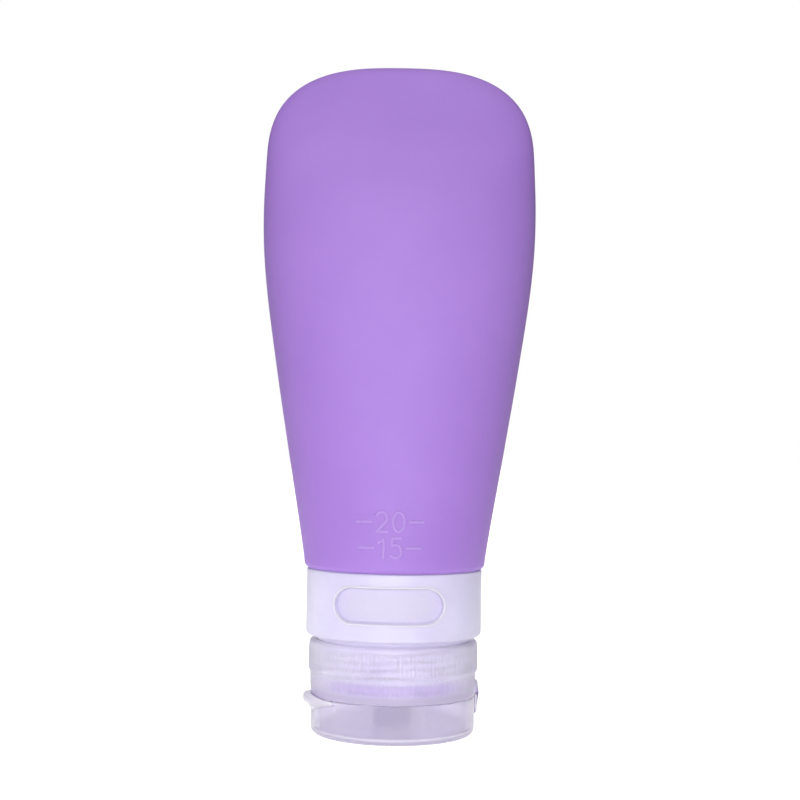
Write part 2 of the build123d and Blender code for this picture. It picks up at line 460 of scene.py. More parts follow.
@dataclass(frozen=True)
class PaperFinish:
    """Blank label stock: matte, with a faint fibre in it."""

    name: str
    deep: Shade
    light: Shade
    fibre_size: float = 0.8
    fibre_depth: float = 0.01
    rub_size: float = 0.5

    def build(self) -> bpy.types.Material:
        """Build the material.

        Returns:
            The finished material.
        """
        bench = SurfaceBench(self.name)
        fibre = bench.grain(self.fibre_size, 5.0, Vector((1.0, 1.0, 3.0)))
        tint = bench.blend(fibre, linear(*self.deep), linear(*self.light))
        dull = bench.spread(bench.grain(self.rub_size, 3.0), 0.5, 0.7)
        normal = bench.relief(fibre, self.fibre_depth)
        bench.set(Base_Color=tint, Roughness=dull, Normal=normal, IOR=1.46)
        return bench.material


@dataclass(frozen=True)
class FloorFinish:
    """The studio's pale lit table: almost even, a little glossy."""

    name: str
    level: float = 0.86
    roughness: float = 0.22
    glow: float = 0.7
    cloud_size: float = 120.0
    rub_size: float = 4.0
    grain_size: float = 0.6
    grain_depth: float = 0.004

    def build(self) -> bpy.types.Material:
        """Build the material.

        Returns:
            The finished material.
        """
        bench = SurfaceBench(self.name)
        low, high = self.level - 0.01, self.level + 0.01
        cloud = bench.grain(self.cloud_size, 2.0)
        tint = bench.blend(cloud, (low, low, low, 1.0), (high, high, high, 1.0))
        rub = bench.grain(self.rub_size, 3.0)
        dull = bench.spread(rub, self.roughness - 0.04, self.roughness + 0.04)
        normal = bench.relief(bench.grain(self.grain_size), self.grain_depth)
        bench.set(
            Base_Color=tint, Roughness=dull, Normal=normal,
            Emission_Color=WHITE, Emission_Strength=self.glow,
        )
        return bench.material


class SmoothLine:
    """A smooth line through knots that keeps between them, without overshoot."""

    def __init__(self, knots: Sequence[Point]) -> None:
        """Work out the slopes at the knots.

        Args:
            knots: Places along the line and the value at each, in rising order.
        """
        self.knots = list(knots)
        spans = [(b[1] - a[1]) / (b[0] - a[0]) for a, b in zip(self.knots, self.knots[1:])]
        inner = [
            0.0 if a * b <= 0 else 2 * a * b / (a + b) for a, b in zip(spans, spans[1:])
        ]
        self.slopes = [spans[0], *inner, spans[-1]]

    def at(self, place: float) -> float:
        """Read the line.

        Args:
            place: Where it is read.

        Returns:
            The value there.
        """
        last = len(self.knots) - 2
        index = next((i for i in range(last) if place < self.knots[i + 1][0]), last)
        (x0, y0), (x1, y1) = self.knots[index], self.knots[index + 1]
        step = x1 - x0
        t = (place - x0) / step
        m0, m1 = self.slopes[index] * step, self.slopes[index + 1] * step
        return (
            (2 * t**3 - 3 * t**2 + 1) * y0 + (t**3 - 2 * t**2 + t) * m0
            + (3 * t**2 - 2 * t**3) * y1 + (t**3 - t**2) * m1
        )


def rounded(corners: Sequence[Corner], closed: bool = True, steps: int = 5) -> list[Point]:
    """Round the corners of a profile.

    Args:
        corners: Radius from the axis, height, and rounding of each corner.
        closed: Whether the last corner joins the first.
        steps: Points in each rounding, less one.

    Returns:
        The profile's points.
    """
    path: list[Point] = []
    count = len(corners)
    for i, (x, z, radius) in enumerate(corners):
        here = Vector((x, z))
        before = Vector(corners[(i - 1) % count][:2]) - here
        after = Vector(corners[(i + 1) % count][:2]) - here
        at_end = not closed and i in (0, count - 1)
        if radius <= 0 or at_end:
            path.append((x, z))
            continue
        half = before.angle(after) / 2
        longest = SIDE_SHARE * min(before.length, after.length)
        reach = min(radius / math.tan(half), longest)
        start, end = here + before.normalized() * reach, here + after.normalized() * reach
        for k in range(steps + 1):
            t = k / steps
            spot = start * (1 - t) ** 2 + here * 2 * t * (1 - t) + end * t**2
            path.append((spot.x, spot.y))
    return path


def divided(path: Sequence[Point], longest: float, low: float, high: float) -> list[Point]:
    """Cut a profile's long runs into short ones.

    Args:
        path: The closed profile.
        longest: The longest run that stays whole.
        low: Height from which runs are cut.
        high: Height up to which runs are cut.

    Returns:
        The finer profile.
    """
    finer: list[Point] = []
    for (x0, z0), (x1, z1) in zip(path, [*path[1:], path[0]]):
        finer.append((x0, z0))
        spans = max(z0, z1) > low and min(z0, z1) < high and abs(z1 - z0) > longest
        pieces = math.ceil(abs(z1 - z0) / longest) if spans else 1
        for k in range(1, pieces):
            finer.append((x0 + (x1 - x0) * k / pieces, z0 + (z1 - z0) * k / pieces))
    return finer


def ring(radius_x: float, radius_y: float, z: float, sides: int) -> list[Vector]:
    """Lay out one oval row of points.

    Args:
        radius_x: Half its width.
        radius_y: Half its depth.
        z: Its height.
        sides: How many points it has.

    Returns:
        The points, in metres.
    """
    turns = [2 * math.pi * k / sides for k in range(sides)]
    return [Vector((radius_x * math.cos(t), radius_y * math.sin(t), z)) * MM for t in turns]


def skin(name: str, rows: Sequence[Sequence[Vector]], closed: bool) -> bpy.types.Object:
    """Join rows of points into one closed surface.

    Args:
        name: The object's name.
        rows: Rows with equal numbers of points. A row may shrink to one spot.
        closed: Whether the last row joins the first.

    Returns:
        The object, with its doubles merged and its faces outward.
    """
    bm = bmesh.new()
    loops = [[bm.verts.new(spot) for spot in row] for row in rows]
    pairs = list(zip(loops, loops[1:]))
    if closed:
        pairs.append((loops[-1], loops[0]))
    for lower, upper in pairs:
        for k in range(len(lower)):
            n = (k + 1) % len(lower)
            bm.faces.new((lower[k], lower[n], upper[n], upper[k]))
    return finished(name, bm)


def finished(name: str, bm: bmesh.types.BMesh) -> bpy.types.Object:
    """Clean a mesh and put it in the scene.

    Args:
        name: The object's name.
        bm: The mesh, which is used up.

    Returns:
        The new object.
    """
    bmesh.ops.remove_doubles(bm, verts=bm.verts, dist=SAME_SPOT)
    bmesh.ops.dissolve_degenerate(bm, dist=NO_LENGTH, edges=bm.edges)
    bmesh.ops.recalc_face_normals(bm, faces=bm.faces)
    return linked(name, bm)


def linked(name: str, bm: bmesh.types.BMesh) -> bpy.types.Object:
    """Put a mesh in the scene as it is.

    Args:
        name: The object's name.
        bm: The mesh, which is used up.

    Returns:
        The new object.
    """
    mesh = bpy.data.meshes.new(name)
    bm.to_mesh(mesh)
    bm.free()
    return shown(name, mesh)


def shown(name: str, data: bpy.types.ID) -> bpy.types.Object:
    """Put a mesh, a light or a camera in the scene.

    Args:
        name: The object's name.
        data: Its data.

    Returns:
        The new object.
    """
    obj = bpy.data.objects.new(name, data)
    bpy.context.scene.collection.objects.link(obj)
    return obj


def drawn(name: str, lines: Sequence[Sequence[Vector]]) -> bpy.types.Object:
    """Draw lines as bare edges, which a tree then raises.

    Args:
        name: The object's name.
        lines: Points of each line. A line that ends where it starts is closed.

    Returns:
        The object.
    """
    bm = bmesh.new()
    for line in lines:
        spots = [bm.verts.new(spot) for spot in line]
        for a, b in zip(spots, spots[1:]):
            bm.edges.new((a, b))
    bmesh.ops.remove_doubles(bm, verts=bm.verts, dist=SAME_SPOT)
    return linked(name, bm)


def capped(rows: Sequence[Sequence[Vector]]) -> list[Sequence[Vector]]:
    """Add a row that has shrunk to the middle of the end row at both ends.

    Args:
        rows: Rows of points from one end of a bar to the other.

    Returns:
        The rows, which now close the bar's ends.
    """
    first, last = ([sum(row, Vector()) / len(row)] * len(row) for row in (rows[0], rows[-1]))
    return [first, *rows, last]


def lathe(name: str, path: Sequence[Point], sides: int) -> bpy.types.Object:
    """Turn a closed profile about the bottle's axis.

    Args:
        name: The object's name.
        path: Radius and height of each point of the profile.
        sides: How many steps the turn has.

    Returns:
        The turned object.
    """
    return skin(name, [ring(r, r, z, sides) for r, z in path], closed=True)


def bake(obj: bpy.types.Object) -> None:
    """Make an object's modifiers part of its mesh.

    Args:
        obj: The object, which keeps no modifier.
    """
    depsgraph = bpy.context.evaluated_depsgraph_get()
    depsgraph.update()
    mesh = bpy.data.meshes.new_from_object(obj.evaluated_get(depsgraph), depsgraph=depsgraph)
    obj.modifiers.clear()
    obj.data = mesh


def combine(obj: bpy.types.Object, tool: bpy.types.Object, cut: Cut) -> None:
    """Join a tool shape to a piece or take it away, and use the tool up.

    Args:
        obj: The piece.
        tool: The shape that meets it.
        cut: Whether it is joined or taken away.
    """
    modifier = obj.modifiers.new("meet", "BOOLEAN")
    modifier.operation = cut.value
    modifier.solver = "EXACT"
    modifier.object = tool
    bake(obj)
    bpy.data.objects.remove(tool)


def soften(obj: bpy.types.Object, sharp: float = 38.0) -> None:
    """Shade a mesh smooth except over its sharp edges.

    Args:
        obj: The piece.
        sharp: Angle in degrees from which an edge stays sharp.
    """
    obj.data.polygons.foreach_set("use_smooth", [True] * len(obj.data.polygons))
    obj.data.set_sharp_from_angle(angle=math.radians(sharp))
    obj.data.update()


def place(
    obj: bpy.types.Object, material: bpy.types.Material, carrier: Carrier | None,
    slot: str, stands_for: str | None = None,
) -> bpy.types.Object:
    """Dress a piece, hang it on its carrier and hide the CAD node that it replaces.

    Args:
        obj: The piece, with its final mesh.
        material: Its finish.
        carrier: The body that it moves with, or None where it bends between two.
        slot: Not used.
        stands_for: The CAD node that it replaces.

    Returns:
        The same piece.
    """
    obj.data.name = obj.name
    obj.data.materials.clear()
    obj.data.materials.append(material)
    soften(obj)
    if carrier is not None:
        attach(obj, carrier.value)
    if stands_for:
        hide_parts(stands_for)
    return obj


class FormTree(NodeBench):
    """A geometry tree with named inputs that shapes one mesh and dresses it."""

    def __init__(self, name: str, sizes: Sequence[str]) -> None:
        """Start a tree.

        Args:
            name: The tree's name.
            sizes: Names of its number inputs.
        """
        super().__init__(bpy.data.node_groups.new(name, "GeometryNodeTree"))
        face = self.tree.interface
        face.new_socket("Geometry", in_out="INPUT", socket_type="NodeSocketGeometry")
        for size in sizes:
            face.new_socket(size, in_out="INPUT", socket_type="NodeSocketFloat")
        face.new_socket("Material", in_out="INPUT", socket_type="NodeSocketMaterial")
        face.new_socket("Geometry", in_out="OUTPUT", socket_type="NodeSocketGeometry")
        self.given = self.add("NodeGroupInput").outputs

    def close(self, geometry: Socket) -> None:
        """End the tree in real geometry with its finish.

        Args:
            geometry: What the tree has made.
        """
        real = self.add("GeometryNodeRealizeInstances")
        dress = self.add("GeometryNodeSetMaterial")
        end = self.add("NodeGroupOutput")
        self.feed(real.inputs["Geometry"], geometry)
        self.feed(dress.inputs["Geometry"], real.outputs["Geometry"])
        self.feed(dress.inputs["Material"], self.given["Material"])
        self.feed(end.inputs["Geometry"], dress.outputs["Geometry"])

    def shape(self, obj: bpy.types.Object, material: bpy.types.Material, **sizes: float) -> None:
        """Run the tree on an object and keep the result as its mesh.

        Args:
            obj: The object.
            material: The finish that the tree gives it.
            sizes: The tree's numbers, named with _ for each space.
        """
        modifier = obj.modifiers.new(self.tree.name, "NODES")
        modifier.node_group = self.tree
        given = {name.replace("_", " "): value for name, value in sizes.items()}
        given["Material"] = material
        for item in self.tree.interface.items_tree:
            if item.in_out == "INPUT" and item.name in given:
                modifier[item.identifier] = given[item.name]
        bake(obj)

    def cylinder(self) -> tuple[Socket, Socket, Socket, Socket]:
        """Read each point round the bottle's axis.

        Returns:
            Sockets of its angle, its radius, its height and its outward direction.
        """
        x, y, z = self.axes(self.add("GeometryNodeInputPosition").outputs[0])
        flat = self.add("ShaderNodeCombineXYZ")
        self.feed(flat.inputs["X"], x)
        self.feed(flat.inputs["Y"], y)
        out = self.add("ShaderNodeVectorMath", operation="NORMALIZE")
        self.feed(out.inputs[0], flat.outputs[0])
        squares = self.math("ADD", self.math("POWER", x, 2), self.math("POWER", y, 2))
        return self.math("ARCTAN2", y, x), self.math("SQRT", squares), z, out.outputs[0]

    def within(self, z: Socket) -> Socket:
        """Fade a form in above the tree's Low and out below its High.

        Args:
            z: Height of each point.

        Returns:
            The form's share at each point.
        """
        low, high, fade = (self.given[name] for name in ("Low", "High", "Fade"))
        rise = self.smooth(z, low, self.math("ADD", low, fade))
        fall = self.smooth(z, high, self.math("SUBTRACT", high, fade))
        return self.math("MULTIPLY", rise, fall)

    def push(self, outward: Socket, amount: Socket) -> Socket:
        """Move the tree's mesh outward by an amount.

        Args:
            outward: Direction at each point.
            amount: Distance at each point.

        Returns:
            The moved geometry.
        """
        scaled = self.add("ShaderNodeVectorMath", operation="SCALE")
        self.feed(scaled.inputs[0], outward)
        self.feed(scaled.inputs["Scale"], amount)
        move = self.add("GeometryNodeSetPosition")
        self.feed(move.inputs["Geometry"], self.given["Geometry"])
        self.feed(move.inputs["Offset"], scaled.outputs[0])
        return move.outputs["Geometry"]


def grip_tree() -> FormTree:
    """Build the tree that ribs a turned wall: one row of upright ribs round it.

    Returns:
        The tree, with inputs Count, Depth, Low, High, Fade and Wall.
    """
    tree = FormTree("grip_ribs", ("Count", "Depth", "Low", "High", "Fade", "Wall"))
    given = tree.given
    angle, radius, z, out = tree.cylinder()
    wave = tree.math("COSINE", tree.math("MULTIPLY", angle, given["Count"]))
    crest = tree.smooth(wave, low=-0.75, high=0.9)
    outer = tree.math("GREATER_THAN", radius, given["Wall"])
    amount = tree.math("MULTIPLY", tree.math("MULTIPLY", crest, outer), tree.within(z))
    tree.close(tree.push(out, tree.math("MULTIPLY", amount, given["Depth"])))
    return tree


def thread_tree() -> FormTree:
    """Build the tree that raises a right-handed screw thread on a turned wall.

    Returns:
        The tree, with inputs Pitch, Rise, Low, High, Fade, Wall and Start.
    """
    tree = FormTree("screw_thread", ("Pitch", "Rise", "Low", "High", "Fade", "Wall", "Start"))
    given = tree.given
    angle, radius, z, out = tree.cylinder()
    climbed = tree.math("DIVIDE", tree.math("SUBTRACT", z, given["Low"]), given["Pitch"])
    phase = tree.math("SUBTRACT", tree.math("MULTIPLY", climbed, 2 * math.pi), angle)
    wave = tree.math("COSINE", tree.math("ADD", phase, given["Start"]))
    crest = tree.smooth(wave, low=-0.1, high=0.75)
    off = tree.math("ABSOLUTE", tree.math("SUBTRACT", radius, given["Wall"]))
    on_wall = tree.math("LESS_THAN", off, ON_WALL)
    amount = tree.math("MULTIPLY", tree.math("MULTIPLY", crest, on_wall), tree.within(z))
    tree.close(tree.push(out, tree.math("MULTIPLY", amount, given["Rise"])))
    return tree


def line_tree() -> FormTree:
    """Build the tree that turns drawn lines into raised round strokes with ball ends.

    Returns:
        The tree, with input Radius.
    """
    tree = FormTree("raised_lines", ("Radius",))
    given = tree.given
    line = tree.add("GeometryNodeMeshToCurve")
    tree.feed(line.inputs["Mesh"], given["Geometry"])
    section = tree.add("GeometryNodeCurvePrimitiveCircle")
    section.inputs["Resolution"].default_value = 12
    tree.feed(section.inputs["Radius"], given["Radius"])
    stroke = tree.add("GeometryNodeCurveToMesh")
    tree.feed(stroke.inputs["Curve"], line.outputs["Curve"])
    tree.feed(stroke.inputs["Profile Curve"], section.outputs["Curve"])
    stroke.inputs["Fill Caps"].default_value = True
    dots = tree.add("GeometryNodeCurveToPoints", mode="EVALUATED")
    tree.feed(dots.inputs["Curve"], line.outputs["Curve"])
    ball = tree.add("GeometryNodeMeshIcoSphere")
    tree.feed(ball.inputs["Radius"], given["Radius"])
    ball.inputs["Subdivisions"].default_value = 2
    balls = tree.add("GeometryNodeInstanceOnPoints")
    tree.feed(balls.inputs["Points"], dots.outputs["Points"])
    tree.feed(balls.inputs["Instance"], ball.outputs["Mesh"])
    both = tree.add("GeometryNodeJoinGeometry")
    tree.feed(both.inputs["Geometry"], stroke.outputs["Mesh"])
    tree.feed(both.inputs["Geometry"], balls.outputs["Instances"])
    tree.close(both.outputs["Geometry"])
    return tree


@dataclass
class Sides:
    """Where things lie round the bottle's axis, in degrees from the front."""

    hinge: float = 105.0
    window: float = -3.6


def facing(azimuth: float) -> Vector:
    """Direction from the axis at an azimuth, 0 to the viewer and 90 to the right."""
    turn = math.radians(azimuth)
    return Vector((math.sin(turn), -math.cos(turn), 0.0))


@dataclass
class SiliconeBody:
    """The squeezable body: one wall from the folded lip to the flat closed end."""

    foot_z: float = 34.8
    end_z: float = 141.4
    wall: float = 1.5
    wall_share: float = 0.38
    floor: float = 1.5
    floor_round: float = 1.1
    floor_edge: float = 1.2
    foot_round: float = 1.1
    foot_step: float = 16.0
    foot_edge: float = 0.3
    foot_gap: float = 0.05
    neck_radius: float = 13.05
    bore_radius: float = 11.6
    lip_z: float = 10.12
    lip_radius: float = 14.95
    lip_height: float = 1.05
    mouth_edge: float = 0.5
    mouth_step: float = 0.1
    mouth_drop: float = 0.2
    barrel_z: float = 11.85
    fold_z: float = 11.7
    fold_radius: float = 14.06
    fold_ledge: float = 0.35
    dome_z: float = 120.0
    dome_width: float = 28.6
    dome_rise: float = 2.6
    dome_fullness: float = 2.8
    ridge_radius: float = 2.45
    ridge_share: float = 0.38
    eased_from: float = 60.0
    eased_to: float = 131.0
    easing: int = 10
    sides: int = 176
    foot_rows: int = 8
    flank_rows: int = 56
    dome_rows: int = 60
    floor_rows: int = 4
    widths: tuple[Point, ...] = (
        (34.8, 19.0), (36.4, 19.15), (41.8, 19.95), (48.2, 21.0), (54.6, 22.1),
        (61.0, 23.15), (67.4, 24.2), (73.8, 25.25), (80.2, 26.2), (86.7, 27.2),
        (93.1, 28.05), (99.5, 28.7), (105.9, 29.05), (112.3, 29.05), (118.7, 28.72),
        (120.0, 28.6),
    )
    depths: tuple[Point, ...] = (
        (34.8, 19.0), (36.4, 18.95), (41.8, 18.2), (48.2, 17.1), (54.6, 16.35),
        (61.0, 15.85), (73.8, 15.35), (86.7, 15.15), (99.5, 14.2), (105.9, 13.3),
        (112.3, 12.1), (118.7, 10.4), (125.1, 8.45), (131.7, 5.7), (137.4, 3.3),
        (139.89, 2.26),
    )
    width_line: SmoothLine = field(init=False)
    depth_line: SmoothLine = field(init=False)

    def __post_init__(self) -> None:
        """Fit the smooth lines through the tables."""
        self.width_line = SmoothLine(self.widths)
        self.depth_line = SmoothLine(self.depths)

    def half_depth(self, z: float) -> float:
        """Half the body's depth at a height, round over the ridge at its end.

        Args:
            z: The height.

        Returns:
            The half depth there.
        """
        centre = self.end_z - self.ridge_radius
        if z > centre + self.ridge_share * self.ridge_radius:
            return math.sqrt(max(self.ridge_radius**2 - (z - centre) ** 2, 0.0))
        return self.depth_line.at(z)

    def flank(self) -> list[Row]:
        """Lay out the outer rows from the foot to the end, eased where the flank meets the dome.

        Returns:
            Height, half width and half depth of each row.
        """
        rows = []
        for k in range(self.foot_rows + 1):
            turn = math.radians(90 * k / self.foot_rows)
            z = self.foot_z + self.foot_round * (1 - math.cos(turn))
            inset = self.foot_round * (1 - math.sin(turn))
            rows.append((z, self.width_line.at(z) - inset, self.half_depth(z) - inset))
        first = self.foot_z + self.foot_round
        for k in range(1, self.flank_rows + 1):
            z = first + (self.dome_z - first) * k / self.flank_rows
            rows.append((z, self.width_line.at(z), self.half_depth(z)))
        for k in range(1, self.dome_rows):
            turn = math.radians(90 * k / self.dome_rows)
            z = self.dome_z + (self.end_z - self.dome_z) * math.sin(turn) ** (2 / self.dome_rise)
            width = self.dome_width * math.cos(turn) ** (2 / self.dome_fullness)
            rows.append((z, width, self.half_depth(z)))
        rows.append((self.end_z, 0.0, 0.0))
        for _ in range(self.easing):
            widths = [row[1] for row in rows]
            for k, (z, a, b) in enumerate(rows):
                if self.eased_from < z < self.eased_to:
                    rows[k] = (z, (widths[k - 1] + 2 * a + widths[k + 1]) / 4, b)
        return rows

    def inside(self, outer: Sequence[Row]) -> list[Row]:
        """Lay out the cavity's rows one wall further in, from its end down to its floor.

        Args:
            outer: The outer rows from the foot to the end.

        Returns:
            Height, half width and half depth of each row.
        """
        rows = []
        top = self.foot_z + self.floor
        reach = self.end_z - self.dome_z
        shrink = (self.dome_width - self.wall) / self.dome_width
        for z, a, b in reversed(outer):
            deep = max(b - self.wall, self.wall_share * b)
            if z > self.dome_z:
                low = self.dome_z + (z - self.dome_z) * (reach - self.wall) / reach
                rows.append((low, a * shrink, deep))
            elif z > top + self.floor_edge:
                rows.append((z, a - self.wall, deep))
        z, a, b = rows[-1]
        for k in range(1, self.floor_rows + 1):
            turn = math.radians(90 * k / self.floor_rows)
            inset = self.floor_round * (1 - math.cos(turn))
            rows.append((z + (top - z) * math.sin(turn), a - inset, b - inset))
        return rows

    def neck(self) -> list[Point]:
        """Lay out the neck, from the cavity's floor down its bore, round the lip and up to the foot.

        Returns:
            Radius and height of each row.
        """
        top = self.foot_z + self.floor
        lip = rounded([
            (self.bore_radius, self.foot_z, 0.0), (self.bore_radius, self.lip_z, 0.5),
            (self.lip_radius, self.lip_z, 0.55), (self.lip_radius, self.lip_z + self.lip_height, 0.5),
            (self.fold_radius + self.fold_ledge, self.fold_z, 0.25),
            (self.fold_radius, self.fold_z, 0.1), (self.fold_radius, self.barrel_z, 0.1),
            (self.neck_radius, self.barrel_z, 0.2), (self.neck_radius, self.foot_z - self.foot_gap, 0.0),
        ], closed=False)
        return [
            (self.bore_radius + self.mouth_edge, top),
            (self.bore_radius + self.mouth_step, top - self.mouth_drop), *lip,
            (self.neck_radius + self.foot_edge, self.foot_z), (self.foot_step, self.foot_z),
        ]

    def build(self, finish: bpy.types.Material) -> bpy.types.Object:
        """Build the body with its neck, lip and cavity.

        Args:
            finish: The silicone.

        Returns:
            The body.
        """
        outer = self.flank()
        rows = [ring(a, b, z, self.sides) for z, a, b in self.inside(outer)]
        rows += [ring(r, r, z, self.sides) for r, z in self.neck()]
        rows += [ring(a, b, z, self.sides) for z, a, b in outer]
        body = skin("silicone_body", rows, closed=False)
        return place(body, finish, Carrier.BOTTLE, "silicone", "bottle_body")

    def front(self, x: float, z: float) -> Vector:
        """A spot on the body's front, in millimetres."""
        share = x / self.width_line.at(z)
        return Vector((x, -self.half_depth(z) * math.sqrt(1 - share * share), z))


@dataclass
class CapacityMarks:
    """Raised level marks on the body's front: plain numbers of millilitres between ticks."""

    centre_x: float = -0.9
    levels: tuple[tuple[str, float], ...] = (("20", 45.3), ("15", 40.1))
    height: float = 3.9
    stroke: float = 0.58
    sunk: float = 0.48
    spacing: float = 1.1
    tick: float = 2.6
    tick_steps: int = 4
    arc_steps: int = 24
    run: float = 0.45

    def arc(self, middle: Point, half: Point, start: float, end: float) -> list[Point]:
        """Draw part of an oval.

        Args:
            middle: Its centre, across and up the figure.
            half: Half its width and half its height.
            start: Angle in degrees where it starts.
            end: Angle in degrees where it ends.

        Returns:
            Points along it.
        """
        shares = [k / self.arc_steps for k in range(self.arc_steps + 1)]
        turns = [math.radians(start + (end - start) * share) for share in shares]
        return [(middle[0] + half[0] * math.cos(t), middle[1] + half[1] * math.sin(t)) for t in turns]

    def glyph(self, sign: str) -> tuple[float, list[Point]]:
        """Draw one figure in a box that is 1 high.

        Args:
            sign: The figure.

        Returns:
            Its width and its stroke.
        """
        hook = self.arc((0.29, 0.71), (0.28, 0.29), 165, -35)
        bowl = self.arc((0.28, 0.33), (0.3, 0.33), 132, -140)
        strokes: dict[str, tuple[float, list[Point]]] = {
            "0": (0.6, self.arc((0.3, 0.5), (0.3, 0.5), 90, 450)),
            "1": (0.3, [(0.0, 0.76), (0.13, 0.86), (0.25, 1.0), (0.25, 0.5), (0.25, 0.0)]),
            "2": (0.58, [*hook, (0.26, 0.27), (0.0, 0.0), (0.58, 0.0)]),
            "5": (0.58, [(0.53, 1.0), (0.12, 1.0), (0.08, 0.56), *bowl]),
        }
        return strokes[sign]

    def strokes(self, text: str, middle: float) -> list[list[Point]]:
        """Lay out one level: its number, centred, between two ticks.

        Args:
            text: The number.
            middle: Height of the level on the body.

        Returns:
            Its strokes, as places across and up the body.
        """
        glyphs = [self.glyph(sign) for sign in text]
        width = sum(g[0] * self.height for g in glyphs) + self.spacing * (len(text) - 1)
        low, x = middle - self.height / 2, self.centre_x - width / 2
        lines = []
        for side in (-1, 1):
            near = self.centre_x + side * (width / 2 + self.spacing)
            step = side * self.tick / self.tick_steps
            lines.append([(near + step * k, middle) for k in range(self.tick_steps + 1)])
        for glyph_width, stroke in glyphs:
            lines.append([(x + u * self.height, low + v * self.height) for u, v in stroke])
            x += glyph_width * self.height + self.spacing
        return lines

    def followed(self, line: Sequence[Point]) -> list[Point]:
        """Divide a stroke's long runs, so that it follows the body.

        Args:
            line: The stroke's points.

        Returns:
            More points along it.
        """
        spots: list[Point] = []
        for (x, z), (u, v) in zip(line, line[1:]):
            parts = math.ceil(math.hypot(u - x, v - z) / self.run)
            spots += [(x + (u - x) * k / parts, z + (v - z) * k / parts) for k in range(parts)]
        return [*spots, line[-1]]

    def build(self, body: SiliconeBody, tree: FormTree, finish: bpy.types.Material) -> bpy.types.Object:
        """Build the marks on the body's front.

        Args:
            body: The body that carries them.
            tree: The tree that raises lines.
            finish: The silicone, painted paler: a painted highlight for the light that the raised strokes
                catch.

        Returns:
            The marks, in one piece.
        """
        inward = Vector((0, self.sunk, 0))
        lines = [line for text, middle in self.levels for line in self.strokes(text, middle)]
        marks = drawn("capacity_marks", [
            [(body.front(x, z) + inward) * MM for x, z in self.followed(line)] for line in lines
        ])
        tree.shape(marks, finish, Radius=self.stroke * MM)
        return place(marks, finish, Carrier.BOTTLE, "silicone")


@dataclass
class WindowCollar:
    """The milky collar that turns over the label, with its long rounded window."""

    around: Sides
    low: float = 20.8
    high: float = 34.68
    outer: float = 18.55
    bore: float = 17.0
    catch: float = 16.3
    catch_height: float = 1.2
    window_z: float = 28.3
    window_width: float = 21.5
    window_height: float = 6.5
    bevel: float = 0.45
    lip_radius: float = 0.2
    lip_proud: float = 0.1
    lip_overlap: float = 0.1
    sides: int = 240
    end_steps: int = 20
    side_steps: int = 24
    tool_from: float = 15.0
    tool_to: float = 25.0

    def loop(self, grow: float) -> list[Point]:
        """Lay out the window's outline.

        Args:
            grow: How far it lies outside the opening's edge.

        Returns:
            Places across and up from the window's middle.
        """
        radius = self.window_height / 2 + grow
        half = self.window_width / 2 + grow - radius
        path = []
        for side, first in ((half, -90), (-half, 90)):
            for k in range(self.end_steps + 1):
                turn = math.radians(first + 180 * k / self.end_steps)
                path.append((side + radius * math.cos(turn), radius * math.sin(turn)))
        finer: list[Point] = []
        for (x0, z0), (x1, z1) in zip(path, [*path[1:], path[0]]):
            pieces = self.side_steps if abs(x1 - x0) > half else 1
            finer += [(x0 + (x1 - x0) * k / pieces, z0 + (z1 - z0) * k / pieces) for k in range(pieces)]
        return finer

    def rim(self, grow: float, radius: float) -> list[Vector]:
        """Bend the window's outline round a cylinder about the axis.

        Args:
            grow: How far it lies outside the opening's edge.
            radius: The cylinder's radius.

        Returns:
            The outline's points, in metres.
        """
        out = facing(self.around.window)
        side = Vector((-out.y, out.x, 0.0))
        spots = []
        for across, up in self.loop(grow):
            depth = math.sqrt(radius**2 - across**2)
            spots.append((side * across + out * depth + Vector((0, 0, self.window_z + up))) * MM)
        return spots

    def build(self, finish: bpy.types.Material) -> bpy.types.Object:
        """Build the collar and cut its window, which opens a little towards the outside.

        Args:
            finish: The pearly plastic.

        Returns:
            The collar.
        """
        ledge = self.low + self.catch_height
        collar = lathe("window_collar", rounded([
            (self.catch, self.low, 0.2), (self.outer, self.low, 0.95), (self.outer, self.high, 0.35),
            (self.bore, self.high, 0.25), (self.bore, ledge, 0.2), (self.catch, ledge, 0.2),
        ]), self.sides)
        slope = self.bevel / (self.outer - self.bore)
        rows = []
        for radius in (self.tool_from, self.bore, self.outer, self.tool_to):
            rows.append(self.rim(max(radius - self.bore, 0.0) * slope, radius))
        combine(collar, skin("window_tool", capped(rows), closed=False), Cut.TAKE)
        collar.visible_shadow = False
        return place(collar, finish, Carrier.COLLAR, "collar_plastic", "window_ring")

    def build_lip(self, tree: FormTree, finish: bpy.types.Material) -> bpy.types.Object:
        """Build the raised lip round the window.

        Args:
            tree: The tree that raises lines.
            finish: A paler copy of the collar's plastic: a painted highlight along the lip.

        Returns:
            The lip.
        """
        grow = self.bevel + self.lip_radius - self.lip_overlap
        rim = self.rim(grow, self.outer + self.lip_proud - self.lip_radius)
        lip = drawn("window_lip", [[*rim, rim[0]]])
        tree.shape(lip, finish, Radius=self.lip_radius * MM)
        return place(lip, finish, Carrier.COLLAR, "collar_plastic")


